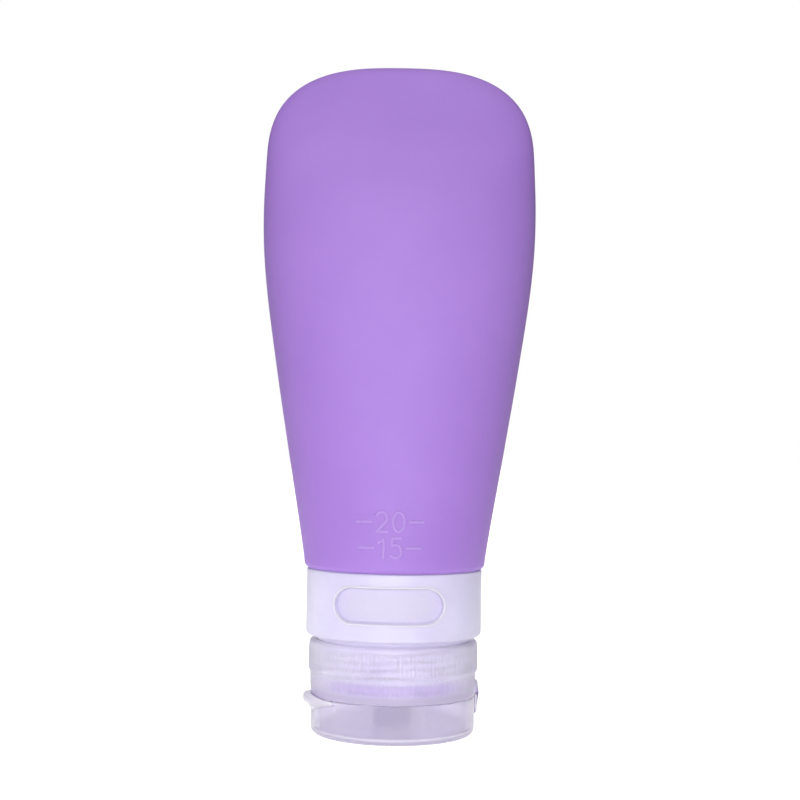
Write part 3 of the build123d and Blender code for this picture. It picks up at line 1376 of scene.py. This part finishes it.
@dataclass
class NeckBarrel:
    """The hard neck: threaded barrel, stop flange and the drum that carries the label."""

    bore: float = 13.1
    barrel: float = 14.7
    recess: float = 14.0
    end_z: float = 11.9
    recess_z: float = 11.8
    flange: float = 16.4
    flange_low: float = 20.0
    flange_high: float = 20.6
    drum: float = 16.0
    drum_high: float = 34.75
    label: float = 16.68
    label_low: float = 22.5
    label_high: float = 34.1
    label_seat: float = 0.02
    label_sides: int = 180
    thread_low: float = 13.6
    thread_high: float = 19.4
    thread_rise: float = 0.8
    thread_fade: float = 0.5
    pitch: float = 3.0
    run: float = 0.16
    sides: int = 300

    def build(self, tree: FormTree, finish: bpy.types.Material) -> bpy.types.Object:
        """Build the neck with its thread.

        Args:
            tree: The tree that raises a thread.
            finish: The milky plastic, painted darker: painted shade in the gap under the collar.

        Returns:
            The neck.
        """
        profile = rounded([
            (self.bore, self.end_z, 0.2), (self.recess, self.end_z, 0.2),
            (self.recess, self.recess_z, 0.1), (self.barrel, self.recess_z, 0.2),
            (self.barrel, self.flange_low, 0.15), (self.flange, self.flange_low, 0.2),
            (self.flange, self.flange_high, 0.2), (self.drum, self.flange_high, 0.1),
            (self.drum, self.drum_high, 0.2), (self.bore, self.drum_high, 0.2),
        ], steps=3)
        path = divided(profile, self.run, self.thread_low, self.thread_high)
        barrel = lathe("neck_barrel", path, self.sides)
        tree.shape(
            barrel, finish, Pitch=self.pitch * MM, Rise=self.thread_rise * MM,
            Low=self.thread_low * MM, High=self.thread_high * MM, Fade=self.thread_fade * MM,
            Wall=self.barrel * MM, Start=0.0,
        )
        return place(barrel, finish, Carrier.BOTTLE, "neck_plastic", "neck_ring")

    def build_label(self, finish: bpy.types.Material) -> bpy.types.Object:
        """Build the blank label sleeve on the drum.

        Args:
            finish: The label stock.

        Returns:
            The sleeve.
        """
        inner = self.drum + self.label_seat
        sleeve = lathe("label_sleeve", rounded([
            (inner, self.label_low, 0.1), (self.label, self.label_low, 0.15),
            (self.label, self.label_high, 0.15), (inner, self.label_high, 0.1),
        ], steps=3), self.label_sides)
        return place(sleeve, finish, Carrier.BOTTLE, "label", "label_band")


def block(name: str, size: Vector, middle: Vector, round_by: float) -> bpy.types.Object:
    """Make a box with rounded edges.

    Args:
        name: The object's name.
        size: Its three lengths.
        middle: Its middle.
        round_by: Radius of its edges.

    Returns:
        The box.
    """
    bm = bmesh.new()
    bmesh.ops.create_cube(bm, size=1.0)
    for vert in bm.verts:
        vert.co = Vector(a * b for a, b in zip(vert.co, size)) * MM
    if round_by:
        edges = list(bm.edges)
        bmesh.ops.bevel(bm, geom=edges, offset=round_by * MM, segments=4, profile=0.5, affect="EDGES")
    bmesh.ops.translate(bm, verts=bm.verts, vec=middle * MM)
    return finished(name, bm)


def turned(obj: bpy.types.Object, azimuth: float) -> bpy.types.Object:
    """Turn a piece that is drawn to the right, so that it faces an azimuth.

    Args:
        obj: The piece, drawn facing +X.
        azimuth: Degrees from the front.

    Returns:
        The same piece.
    """
    turn = math.radians(azimuth - 90)
    cosine, sine = math.cos(turn), math.sin(turn)
    for vert in obj.data.vertices:
        x, y, z = vert.co
        vert.co = (x * cosine - y * sine, x * sine + y * cosine, z)
    return obj


@dataclass
class ScrewCap:
    """The cap: grip wall with fine ribs, deck, nozzle, valve socket, inner thread and hinge pad."""

    around: Sides
    parting: float = 8.2
    rim: float = 19.8
    wall: float = 17.4
    band: float = 17.8
    band_low: float = 13.4
    band_under: float = 0.5
    band_over: float = 0.3
    bore: float = 15.9
    deck: float = 9.3
    nozzle: float = 6.4
    nozzle_bore: float = 4.6
    nozzle_z: float = 6.4
    ledge_z: float = 7.4
    socket: float = 7.3
    socket_top: float = 11.2
    valve: float = 5.9
    retainer_top: float = 10.6
    bead: float = 0.15
    bead_gap: float = 0.05
    snap_gap: float = 0.03
    seat: float = 0.02
    rib_count: int = 128
    sides_per_rib: int = 6
    rib_depth: float = 0.08
    rib_low: float = 9.6
    rib_high: float = 18.8
    rib_fade: float = 0.9
    rib_inset: float = 0.4
    run: float = 0.48
    thread_low: float = 12.6
    thread_high: float = 18.6
    thread_rise: float = 0.85
    thread_fade: float = 0.6
    pitch: float = 3.0
    pad_width: float = 7.6
    pad_rise: float = 3.0
    pad_drop: float = 4.2
    pad_root: float = 16.7
    pad_face: float = 17.72
    pad_gap: float = 0.05
    pad_round: float = 0.48
    pivot_radius: float = 17.9

    def profile(self) -> list[Point]:
        """Lay out the cap's section, from the nozzle's mouth round the wall and back.

        Returns:
            Radius and height of each point.
        """
        top, snap, hold = self.rim - self.seat, self.valve + self.snap_gap, self.valve - self.bead
        return rounded([
            (self.nozzle_bore, self.nozzle_z, 0.25), (self.nozzle, self.nozzle_z, 0.4),
            (self.nozzle, self.parting, 0.35), (self.wall, self.parting + self.seat, 0.3),
            (self.wall, self.band_low - self.band_under, 0.9),
            (self.band, self.band_low + self.band_over, 0.9),
            (self.band, top, 1.7), (self.bore, top, 0.35),
            (self.bore, self.deck, 0.45), (self.socket, self.deck, 0.35),
            (self.socket, self.socket_top, 0.3), (hold, self.socket_top, 0.2),
            (hold, self.retainer_top + self.bead_gap, 0.05),
            (snap, self.retainer_top + self.snap_gap, 0.05),
            (snap, self.ledge_z, 0.1), (self.nozzle_bore, self.ledge_z, 0.2),
        ], steps=4)

    def build(self, ribs: FormTree, thread: FormTree, finish: bpy.types.Material) -> bpy.types.Object:
        """Build the cap's shell.

        Args:
            ribs: The tree that ribs a wall.
            thread: The tree that raises a thread.
            finish: The frosted plastic.

        Returns:
            The shell.
        """
        path = divided(self.profile(), self.run, self.parting, self.rim)
        shell = lathe("cap_shell", path, self.sides_per_rib * self.rib_count)
        ribs.shape(
            shell, finish, Count=float(self.rib_count), Depth=self.rib_depth * MM,
            Low=self.rib_low * MM, High=self.rib_high * MM, Fade=self.rib_fade * MM,
            Wall=(self.wall - self.rib_inset) * MM,
        )
        thread.shape(
            shell, finish, Pitch=self.pitch * MM, Rise=-self.thread_rise * MM,
            Low=self.thread_low * MM, High=self.thread_high * MM, Fade=self.thread_fade * MM,
            Wall=self.bore * MM, Start=self.thread_start(),
        )
        combine(shell, self.pad("cap_pad", up=True), Cut.JOIN)
        shell.visible_shadow = False
        return place(shell, finish, Carrier.CAP, "cap_plastic", "screw_cap")

    def thread_start(self) -> float:
        """Phase that puts the cap's thread half a pitch from the neck's."""
        shift = (self.thread_low - NeckBarrel().thread_low) / self.pitch
        return math.pi + shift * 2 * math.pi

    def pad(self, name: str, up: bool) -> bpy.types.Object:
        """Make the flat pad that carries one end of the hinge strap.

        Args:
            name: The object's name.
            up: Whether it stands above the parting line, on the cap, or below it, on the lid.

        Returns:
            The pad.
        """
        depth = self.pad_face - self.pad_root
        height = (self.pad_rise if up else self.pad_drop) - self.pad_gap
        middle = self.parting + (self.pad_gap + height / 2) * (1 if up else -1)
        size = Vector((depth, self.pad_width, height))
        spot = Vector((self.pad_root + depth / 2, 0, middle))
        return turned(block(name, size, spot, self.pad_round), self.around.hinge)


@dataclass
class CapInside:
    """What the cap holds: the flat seal on its deck, the slit valve and the ring behind it."""

    cap: ScrewCap
    seal_radius: float = 14.95
    seal_bore: float = 11.9
    seal_top: float = 10.08
    seal_sides: int = 180
    valve_top: float = 8.6
    valve_gap: float = 0.05
    valve_sides: int = 96
    skin_low: float = 0.35
    skin_high: float = 0.95
    dish: Point = (2.4, 0.2)
    dish_radius: float = 4.1
    dish_mouth: float = 4.2
    dish_floor: Point = (3.8, 0.75)
    slit_length: float = 4.6
    slit_width: float = 0.14
    slit_depth: float = 4.0
    slit_rise: float = 0.5
    snap_wall: float = 1.5
    snap_sides: int = 120

    def build_seal(self, finish: bpy.types.Material) -> bpy.types.Object:
        """Build the flat seal.

        Args:
            finish: The seal's silicone.

        Returns:
            The seal.
        """
        low = self.cap.deck + self.cap.seat
        seal = lathe("flat_seal", rounded([
            (self.seal_bore, low, 0.12), (self.seal_radius, low, 0.15),
            (self.seal_radius, self.seal_top, 0.15), (self.seal_bore, self.seal_top, 0.12),
        ], steps=3), self.seal_sides)
        return place(seal, finish, Carrier.WASHER, "seal", "sealing_washer")

    def build_valve(self, finish: bpy.types.Material) -> bpy.types.Object:
        """Build the soft disc with its thin dished middle, cut by a cross of two slits.

        Args:
            finish: The valve's clear silicone.

        Returns:
            The valve.
        """
        ledge, low = self.cap.ledge_z, self.cap.ledge_z + self.cap.seat
        edge, top = self.cap.valve - self.valve_gap, self.valve_top - self.cap.seat
        path = rounded([
            (0.0, ledge + self.skin_low, 0.0), (self.dish[0], ledge + self.dish[1], 0.4),
            (self.dish_radius, low, 0.3), (edge, low, 0.2), (edge, top, 0.2), (self.dish_mouth, top, 0.25),
            (self.dish_floor[0], ledge + self.dish_floor[1], 0.2), (0.0, ledge + self.skin_high, 0.0),
        ], closed=False, steps=3)
        valve = lathe("slit_valve", [*path, path[0]], self.valve_sides)
        for long, wide in ((self.slit_length, self.slit_width), (self.slit_width, self.slit_length)):
            size = Vector((long, wide, self.slit_depth))
            slit = block("slit", size, Vector((0, 0, ledge + self.slit_rise)), 0.0)
            combine(valve, slit, Cut.TAKE)
        return place(valve, finish, Carrier.CAP, "valve", "drip_valve")

    def build_snap(self, finish: bpy.types.Material) -> bpy.types.Object:
        """Build the ring that snaps in behind the valve.

        Args:
            finish: The milky plastic.

        Returns:
            The ring.
        """
        inner, outer = self.cap.valve - self.snap_wall, self.cap.valve - self.cap.snap_gap
        low, high = self.valve_top + self.cap.seat, self.cap.retainer_top - self.cap.seat
        snap = lathe("valve_snap_ring", rounded([
            (inner, low, 0.15), (outer, low, 0.15), (outer, high, 0.3), (inner, high, 0.35),
        ], steps=3), self.snap_sides)
        return place(snap, finish, Carrier.CAP, "retainer_plastic", "valve_retainer")


@dataclass
class FlipLid:
    """The clear lid: a shallow cup with its plug, its thumb tab and its hinge pad."""

    cap: ScrewCap
    radius: float = 17.35
    wall: float = 1.3
    floor: float = 1.3
    top: float = 8.17
    foot_round: float = 1.75
    sides: int = 260
    plug: float = 4.3
    plug_wall: float = 1.0
    plug_top: float = 7.28
    tab_reach: float = 1.85
    tab_thickness: float = 2.65
    tab_thinnest: float = 0.33
    tab_taper: float = 2.5
    tab_curve: float = 0.9
    tab_rise: float = 0.85
    tab_gap: float = 0.2
    tab_ramp: float = 0.75
    tab_spread: float = 36.0
    tab_root: float = 16.8
    tab_sunk: float = 0.3
    tab_drop: float = 0.02
    tab_rows: int = 64
    tab_steps: int = 10

    def build(self, finish: bpy.types.Material) -> bpy.types.Object:
        """Build the lid.

        Args:
            finish: The clear plastic.

        Returns:
            The lid.
        """
        bore, hollow = self.radius - self.wall, self.plug - self.plug_wall
        cup = lathe("lid_cup", rounded([
            (0.0, 0.0, 0.0), (self.radius, 0.0, self.foot_round), (self.radius, self.top, 0.25),
            (bore, self.top, 0.25), (bore, self.floor, 0.8),
            (self.plug, self.floor, 0.4), (self.plug, self.plug_top, 0.35),
            (hollow, self.plug_top, 0.2), (hollow, self.floor, 0.3), (0.0, self.floor, 0.0),
        ], steps=6), self.sides)
        combine(cup, self.tab(), Cut.JOIN)
        combine(cup, self.cap.pad("lid_pad", up=False), Cut.JOIN)
        return place(cup, finish, Carrier.LID, "lid_plastic", "flip_lid")

    def lift(self, r: float) -> float:
        """How far the tab's middle has risen at a distance from the axis."""
        share = min(max((r - self.radius - self.tab_gap) / self.tab_ramp, 0.0), 1.0)
        return self.tab_rise * share**2 * (3 - 2 * share)

    def section(self, swell: float) -> list[Point]:
        """Draw the tab's section at one place of its width.

        Args:
            swell: 1 in the tab's middle and 0 at its ends.

        Returns:
            Radius and height of its points.
        """
        fullness = swell**self.tab_taper
        half = self.tab_thickness / 2 * (self.tab_thinnest + (1 - self.tab_thinnest) * fullness)
        tip = self.radius - self.tab_sunk + (self.tab_reach + self.tab_sunk) * swell**self.tab_curve
        middle = self.top - self.tab_drop - half
        span = tip - half - self.tab_root
        flat = [self.tab_root + span * n / self.tab_steps for n in range(self.tab_steps)]
        path = [(r, middle - half) for r in flat]
        for n in range(self.tab_steps + 1):
            bend = math.pi * (n / self.tab_steps - 0.5)
            path.append((tip - half + half * math.cos(bend), middle + half * math.sin(bend)))
        path += [(r, middle + half) for r in reversed(flat)]
        return [(r, z + self.lift(r) * fullness) for r, z in path]

    def tab(self) -> bpy.types.Object:
        """Make the thumb tab opposite the hinge, a crescent that thins out towards its ends.

        Returns:
            The tab, drawn where it belongs.
        """
        rows = []
        for k in range(self.tab_rows + 1):
            turn = math.radians(self.tab_spread) * (2 * k / self.tab_rows - 1)
            swell = max(math.cos(math.pi * (k / self.tab_rows - 0.5)), 0.0)
            out = Vector((math.cos(turn), math.sin(turn), 0.0))
            rows.append([(out * r + Vector((0, 0, z))) * MM for r, z in self.section(swell)])
        return turned(skin("thumb_tab", capped(rows), closed=False), self.cap.around.hinge - 180)


@dataclass
class HingeStrap:
    """The thin strap across the parting line, bowed outward between its two feet."""

    cap: ScrewCap
    width: float = 6.6
    thickness: float = 0.42
    thinnest: float = 0.3
    sunk: float = 0.02
    bow: float = 0.24
    foot: float = 0.9
    half_height: float = 2.7
    corner: float = 1.1
    end_round: float = 0.35
    edge_power: int = 6
    bend_reach: float = 1.3
    rows: int = 36
    columns: int = 16

    def build(self, finish: bpy.types.Material) -> bpy.types.Object:
        """Build the strap, which hangs on neither the cap nor the lid.

        Args:
            finish: The frosted plastic.

        Returns:
            The strap.
        """
        bm = bmesh.new()
        inner, outer = self.sheet(bm, 0), self.sheet(bm, 1)
        for i in range(self.rows):
            for j in range(self.columns):
                bm.faces.new((inner[i][j], inner[i + 1][j], inner[i + 1][j + 1], inner[i][j + 1]))
                bm.faces.new((outer[i][j], outer[i][j + 1], outer[i + 1][j + 1], outer[i + 1][j]))
        for i in range(self.rows):
            for j in (0, self.columns):
                bm.faces.new((inner[i][j], outer[i][j], outer[i + 1][j], inner[i + 1][j]))
        for j in range(self.columns):
            for i in (0, self.rows):
                bm.faces.new((inner[i][j], inner[i][j + 1], outer[i][j + 1], outer[i][j]))
        strap = turned(finished("strap_hinge", bm), self.cap.around.hinge)
        place(strap, finish, None, "hinge_plastic", "hinge_band")
        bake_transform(strap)
        return strap

    def sheet(self, bm: bmesh.types.BMesh, side: int) -> list[list[bmesh.types.BMVert]]:
        """Lay out the points of one face.

        Args:
            bm: The mesh that gets them.
            side: 0 for the inner face, 1 for the outer.

        Returns:
            The points, row by row.
        """
        rows, columns = range(self.rows + 1), range(self.columns + 1)
        return [[bm.verts.new(self.spot(i, j, side)) for j in columns] for i in rows]

    def spot(self, row: int, column: int, side: int) -> Vector:
        """A point of the strap, drawn to the right.

        Args:
            row: Its row, from the lower foot up.
            column: Its column across the strap.
            side: 0 on the inner face, 1 on the outer.

        Returns:
            The point in metres.
        """
        z = -self.half_height + 2 * self.half_height * row / self.rows
        across = -1 + 2 * column / self.columns
        share = min(abs(z) / (self.half_height - self.foot), 1.0)
        bulge = self.bow * (math.cos(share * math.pi) + 1) / 2
        depth = self.sunk
        if side:
            edge = math.sqrt(1 - abs(across) ** self.edge_power)
            end = math.sqrt(max(min((self.half_height - abs(z)) / self.end_round, 1.0), 0.0))
            depth = self.thickness * (self.thinnest + (1 - self.thinnest) * min(edge, end))
        past = max(abs(z) - self.half_height + self.corner, 0.0)
        half_width = self.width / 2 - self.corner + math.sqrt(max(self.corner**2 - past**2, 0.0))
        return Vector((self.cap.pad_face + bulge + depth, across * half_width, self.cap.parting + z)) * MM


@dataclass
class Studio:
    """The pale floor, the soft lights, the even backdrop and the camera."""

    distance: float = 342.0
    eye_height: float = 63.0
    aim_height: float = 70.4
    aside: float = 0.65
    lean: float = 0.87
    lens: float = 72.22
    sensor: float = 36.0
    nearest: float = 10.0
    floor_half: float = 3000.0
    floor_cells: int = 8
    lights: tuple[tuple[str, float, float, float, float], ...] = (
        ("front_light", -4.0, 4.0, 46.0, 1.5),
        ("left_light", -54.0, 6.0, 12.0, 0.05),
    )
    cards: tuple[tuple[str, Corner, Corner, Point, float], ...] = (
        ("front_card", (-10.0, -346.0, 32.0), (0.0, 1.0, 0.0), (320.0, 56.0), 0.4),
        ("foot_card", (-8.0, -112.0, 9.0), (0.0, 1.0, 0.0), (180.0, 16.0), 0.0082),
        ("left_card", (-58.0, -8.0, 16.0), (1.0, 0.0, 0.0), (70.0, 30.0), 0.0100),
        ("right_card", (58.0, -8.0, 16.0), (-1.0, 0.0, 0.0), (70.0, 30.0), 0.0092),
    )
    backdrop: float = 1.0
    air_colour: tuple[float, float, float, float] = (0.98, 0.98, 1.0, 1.0)
    even_air: float = 0.14
    air: tuple[Lobe, ...] = (
        ("Y", (0.0, -0.95), 0.25),
        ("Y", (0.15, 0.85), 0.7),
        ("X", (0.0, 0.8), -0.32),
        ("X", (-0.1, -0.85), -0.24),
        ("Z", (0.4, 0.95), 0.8),
        ("Z", (-0.05, -0.5), 0.3),
        ("Z", (-0.5, -0.95), 0.4),
    )
    even_gleam: float = 0.2
    gleam: tuple[Lobe, ...] = (
        ("Y", (-0.45, -0.98), 1.1),
        ("Y", (0.93, 0.99), 0.8),
    )

    def build_camera(self) -> None:
        """Set the camera where the photograph was taken from."""
        data = bpy.data.cameras.new("photo_camera")
        data.lens = self.lens
        data.sensor_width = self.sensor
        data.clip_start = self.nearest * MM
        eye = Vector((self.aside, -self.distance, self.eye_height)) * MM
        aim = Vector((self.aside, 0.0, self.aim_height)) * MM
        turn = (aim - eye).to_track_quat("-Z", "Y")
        lean = Quaternion((0.0, 0.0, 1.0), math.radians(self.lean))
        camera = shown("photo_camera", data)
        camera.location = eye
        camera.rotation_euler = (turn @ lean).to_euler()
        bpy.context.scene.camera = camera

    def build_lights(self) -> None:
        """Set the broad far lights, each by its direction round and above the bottle."""
        for name, azimuth, elevation, breadth, strength in self.lights:
            data = bpy.data.lights.new(name, "SUN")
            data.angle = math.radians(breadth)
            data.energy = strength
            rise = math.radians(elevation)
            source = facing(azimuth) * math.cos(rise) + Vector((0, 0, math.sin(rise)))
            light = shown(name, data)
            light.location = source
            light.rotation_euler = (-source).to_track_quat("-Z", "Y").to_euler()

    def build_cards(self) -> None:
        """Stand the low white cards by the bottle, which light its foot most."""
        for name, spot, towards, size, power in self.cards:
            data = bpy.data.lights.new(name, "AREA")
            data.shape = "RECTANGLE"
            data.size, data.size_y = size[0] * MM, size[1] * MM
            data.energy = power
            card = shown(name, data)
            card.location = Vector(spot) * MM
            card.rotation_euler = Vector(towards).to_track_quat("-Z", "Y").to_euler()
            card.visible_camera = False
            card.visible_glossy = False

    def build_world(self) -> None:
        """Light the scene from a pale room that is darker at its sides, before a white backdrop."""
        world = bpy.data.worlds.new("studio_air")
        bpy.context.scene.world = world
        world.use_nodes = True
        bench = NodeBench(world.node_tree)
        world.node_tree.nodes.clear()
        seen = bench.add("ShaderNodeBackground")
        seen.inputs["Color"].default_value = WHITE
        seen.inputs["Strength"].default_value = self.backdrop
        path = bench.add("ShaderNodeLightPath")
        scattered = self.level(bench, self.even_air, self.air)
        glancing = self.level(bench, self.even_gleam, self.gleam)
        share = path.outputs["Is Glossy Ray"]
        dull = bench.math("MULTIPLY", scattered, bench.math("SUBTRACT", 1.0, share))
        strength = bench.math("ADD", bench.math("MULTIPLY", glancing, share), dull)
        air = bench.add("ShaderNodeBackground")
        air.inputs["Color"].default_value = self.air_colour
        bench.feed(air.inputs["Strength"], strength)
        mix = bench.add("ShaderNodeMixShader")
        through = bench.math("MAXIMUM", path.outputs["Is Camera Ray"], path.outputs["Is Transmission Ray"])
        bench.feed(mix.inputs[0], through)
        bench.feed(mix.inputs[1], air.outputs[0])
        bench.feed(mix.inputs[2], seen.outputs[0])
        bench.feed(bench.add("ShaderNodeOutputWorld").inputs["Surface"], mix.outputs[0])

    def level(self, bench: NodeBench, even: float, lobes: Sequence[Lobe]) -> Socket:
        """Sum an even level and soft lobes along the room's axes.

        Args:
            bench: The world's bench.
            even: Level everywhere.
            lobes: Axis, where the lobe starts and is full, and its gain.

        Returns:
            The light's strength by direction.
        """
        room = dict(zip("XYZ", bench.axes(bench.add("ShaderNodeTexCoord").outputs["Generated"])))
        strength: Value = even
        for axis, (start, end), gain in lobes:
            lobe = bench.math("MULTIPLY", bench.smooth(room[axis], start, end), gain)
            strength = bench.math("ADD", lobe, strength)
        return strength

    def build_floor(self, finish: bpy.types.Material) -> None:
        """Lay the floor.

        Args:
            finish: The table's surface.
        """
        bm = bmesh.new()
        cells = self.floor_cells
        bmesh.ops.create_grid(bm, x_segments=cells, y_segments=cells, size=self.floor_half * MM)
        floor = linked("studio_floor", bm)
        floor.visible_diffuse = False
        floor.data.materials.append(finish)

    def build(self) -> None:
        """Set up the whole studio."""
        bpy.context.scene.view_settings.view_transform = "Standard"
        self.build_camera()
        self.build_lights()
        self.build_cards()
        self.build_world()
        self.build_floor(FloorFinish("pale_sweep").build())


def main() -> None:
    """Build the studio and the bottle, piece by piece, and report each."""
    logging.basicConfig(level=logging.INFO, format="%(name)s %(message)s")
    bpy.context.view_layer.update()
    Studio().build()

    silicone = SiliconeFinish(
        "matte_silicone", deep=(166, 123, 213), light=(173, 130, 219), roughness=0.58, mould_line=True,
    ).build()
    # The raised marks get a paler copy of the body's silicone: a painted highlight.
    highlit_silicone = SiliconeFinish("raised_silicone_painted_highlight", deep=(192, 148, 240), light=(198, 155, 245)).build()
    seal = SiliconeFinish(
        "soft_seal", deep=(168, 128, 220), light=(178, 140, 228), roughness=0.42,
    ).build()
    valve = SiliconeFinish(
        "clear_soft_valve", deep=(214, 208, 232), light=(228, 222, 242), roughness=0.4,
    ).build()
    milky = MilkyFinish("milky_plastic", deep=(233, 228, 249), light=(241, 237, 253)).build()
    # The neck's plastic is a darker copy of the milky one: painted shade in the gap under the collar.
    neck_painted_shade = MilkyFinish("neck_plastic", deep=(205, 199, 222), light=(213, 207, 229)).build()
    pearly = MilkyFinish(
        "pearly_plastic", deep=(222, 218, 237), light=(230, 226, 243), passing=0.35,
    ).build()
    # The window's lip gets a paler copy of the milky plastic: a painted highlight along its rim.
    lip_highlight = MilkyFinish("lip_painted_highlight_plastic", deep=(245, 242, 253), light=(249, 247, 255)).build()
    frosted = FrostedFinish(
        "frosted_plastic", tint=(215, 211, 225), cloudy=(223, 220, 231), deep_and_shaded_tint=(212, 202, 230),
        roughness=0.28, passing=0.68, core_radius=6.5, etched_to=9.2, wall_radius=17.95,
    ).build()
    clear = FrostedFinish(
        "clear_plastic", tint=(234, 229, 246), cloudy=(242, 238, 250), deep_and_shaded_tint=(209, 201, 227),
        roughness=0.18, passing=0.8, core_radius=4.5, etched_to=0.6, wall_radius=17.5, streaks=0.06,
    ).build()
    paper = PaperFinish("blank_label", deep=(210, 204, 228), light=(217, 211, 233)).build()

    sides = Sides()
    ribs, thread, lines = grip_tree(), thread_tree(), line_tree()
    body, collar, neck, cap = SiliconeBody(), WindowCollar(sides), NeckBarrel(), ScrewCap(sides)
    inside = CapInside(cap)
    pieces = [
        body.build(silicone),
        CapacityMarks().build(body, lines, highlit_silicone),
        collar.build(pearly),
        collar.build_lip(lines, lip_highlight),
        neck.build(thread, neck_painted_shade),
        neck.build_label(paper),
        cap.build(ribs, thread, frosted),
        inside.build_seal(seal),
        inside.build_valve(valve),
        inside.build_snap(milky),
        FlipLid(cap).build(clear),
        HingeStrap(cap).build(frosted),
    ]
    for piece in pieces:
        finish = piece.data.materials[0].name
        log.info("%s: %d faces of %s", piece.name, len(piece.data.polygons), finish)


if __name__ == "__main__":
    main()
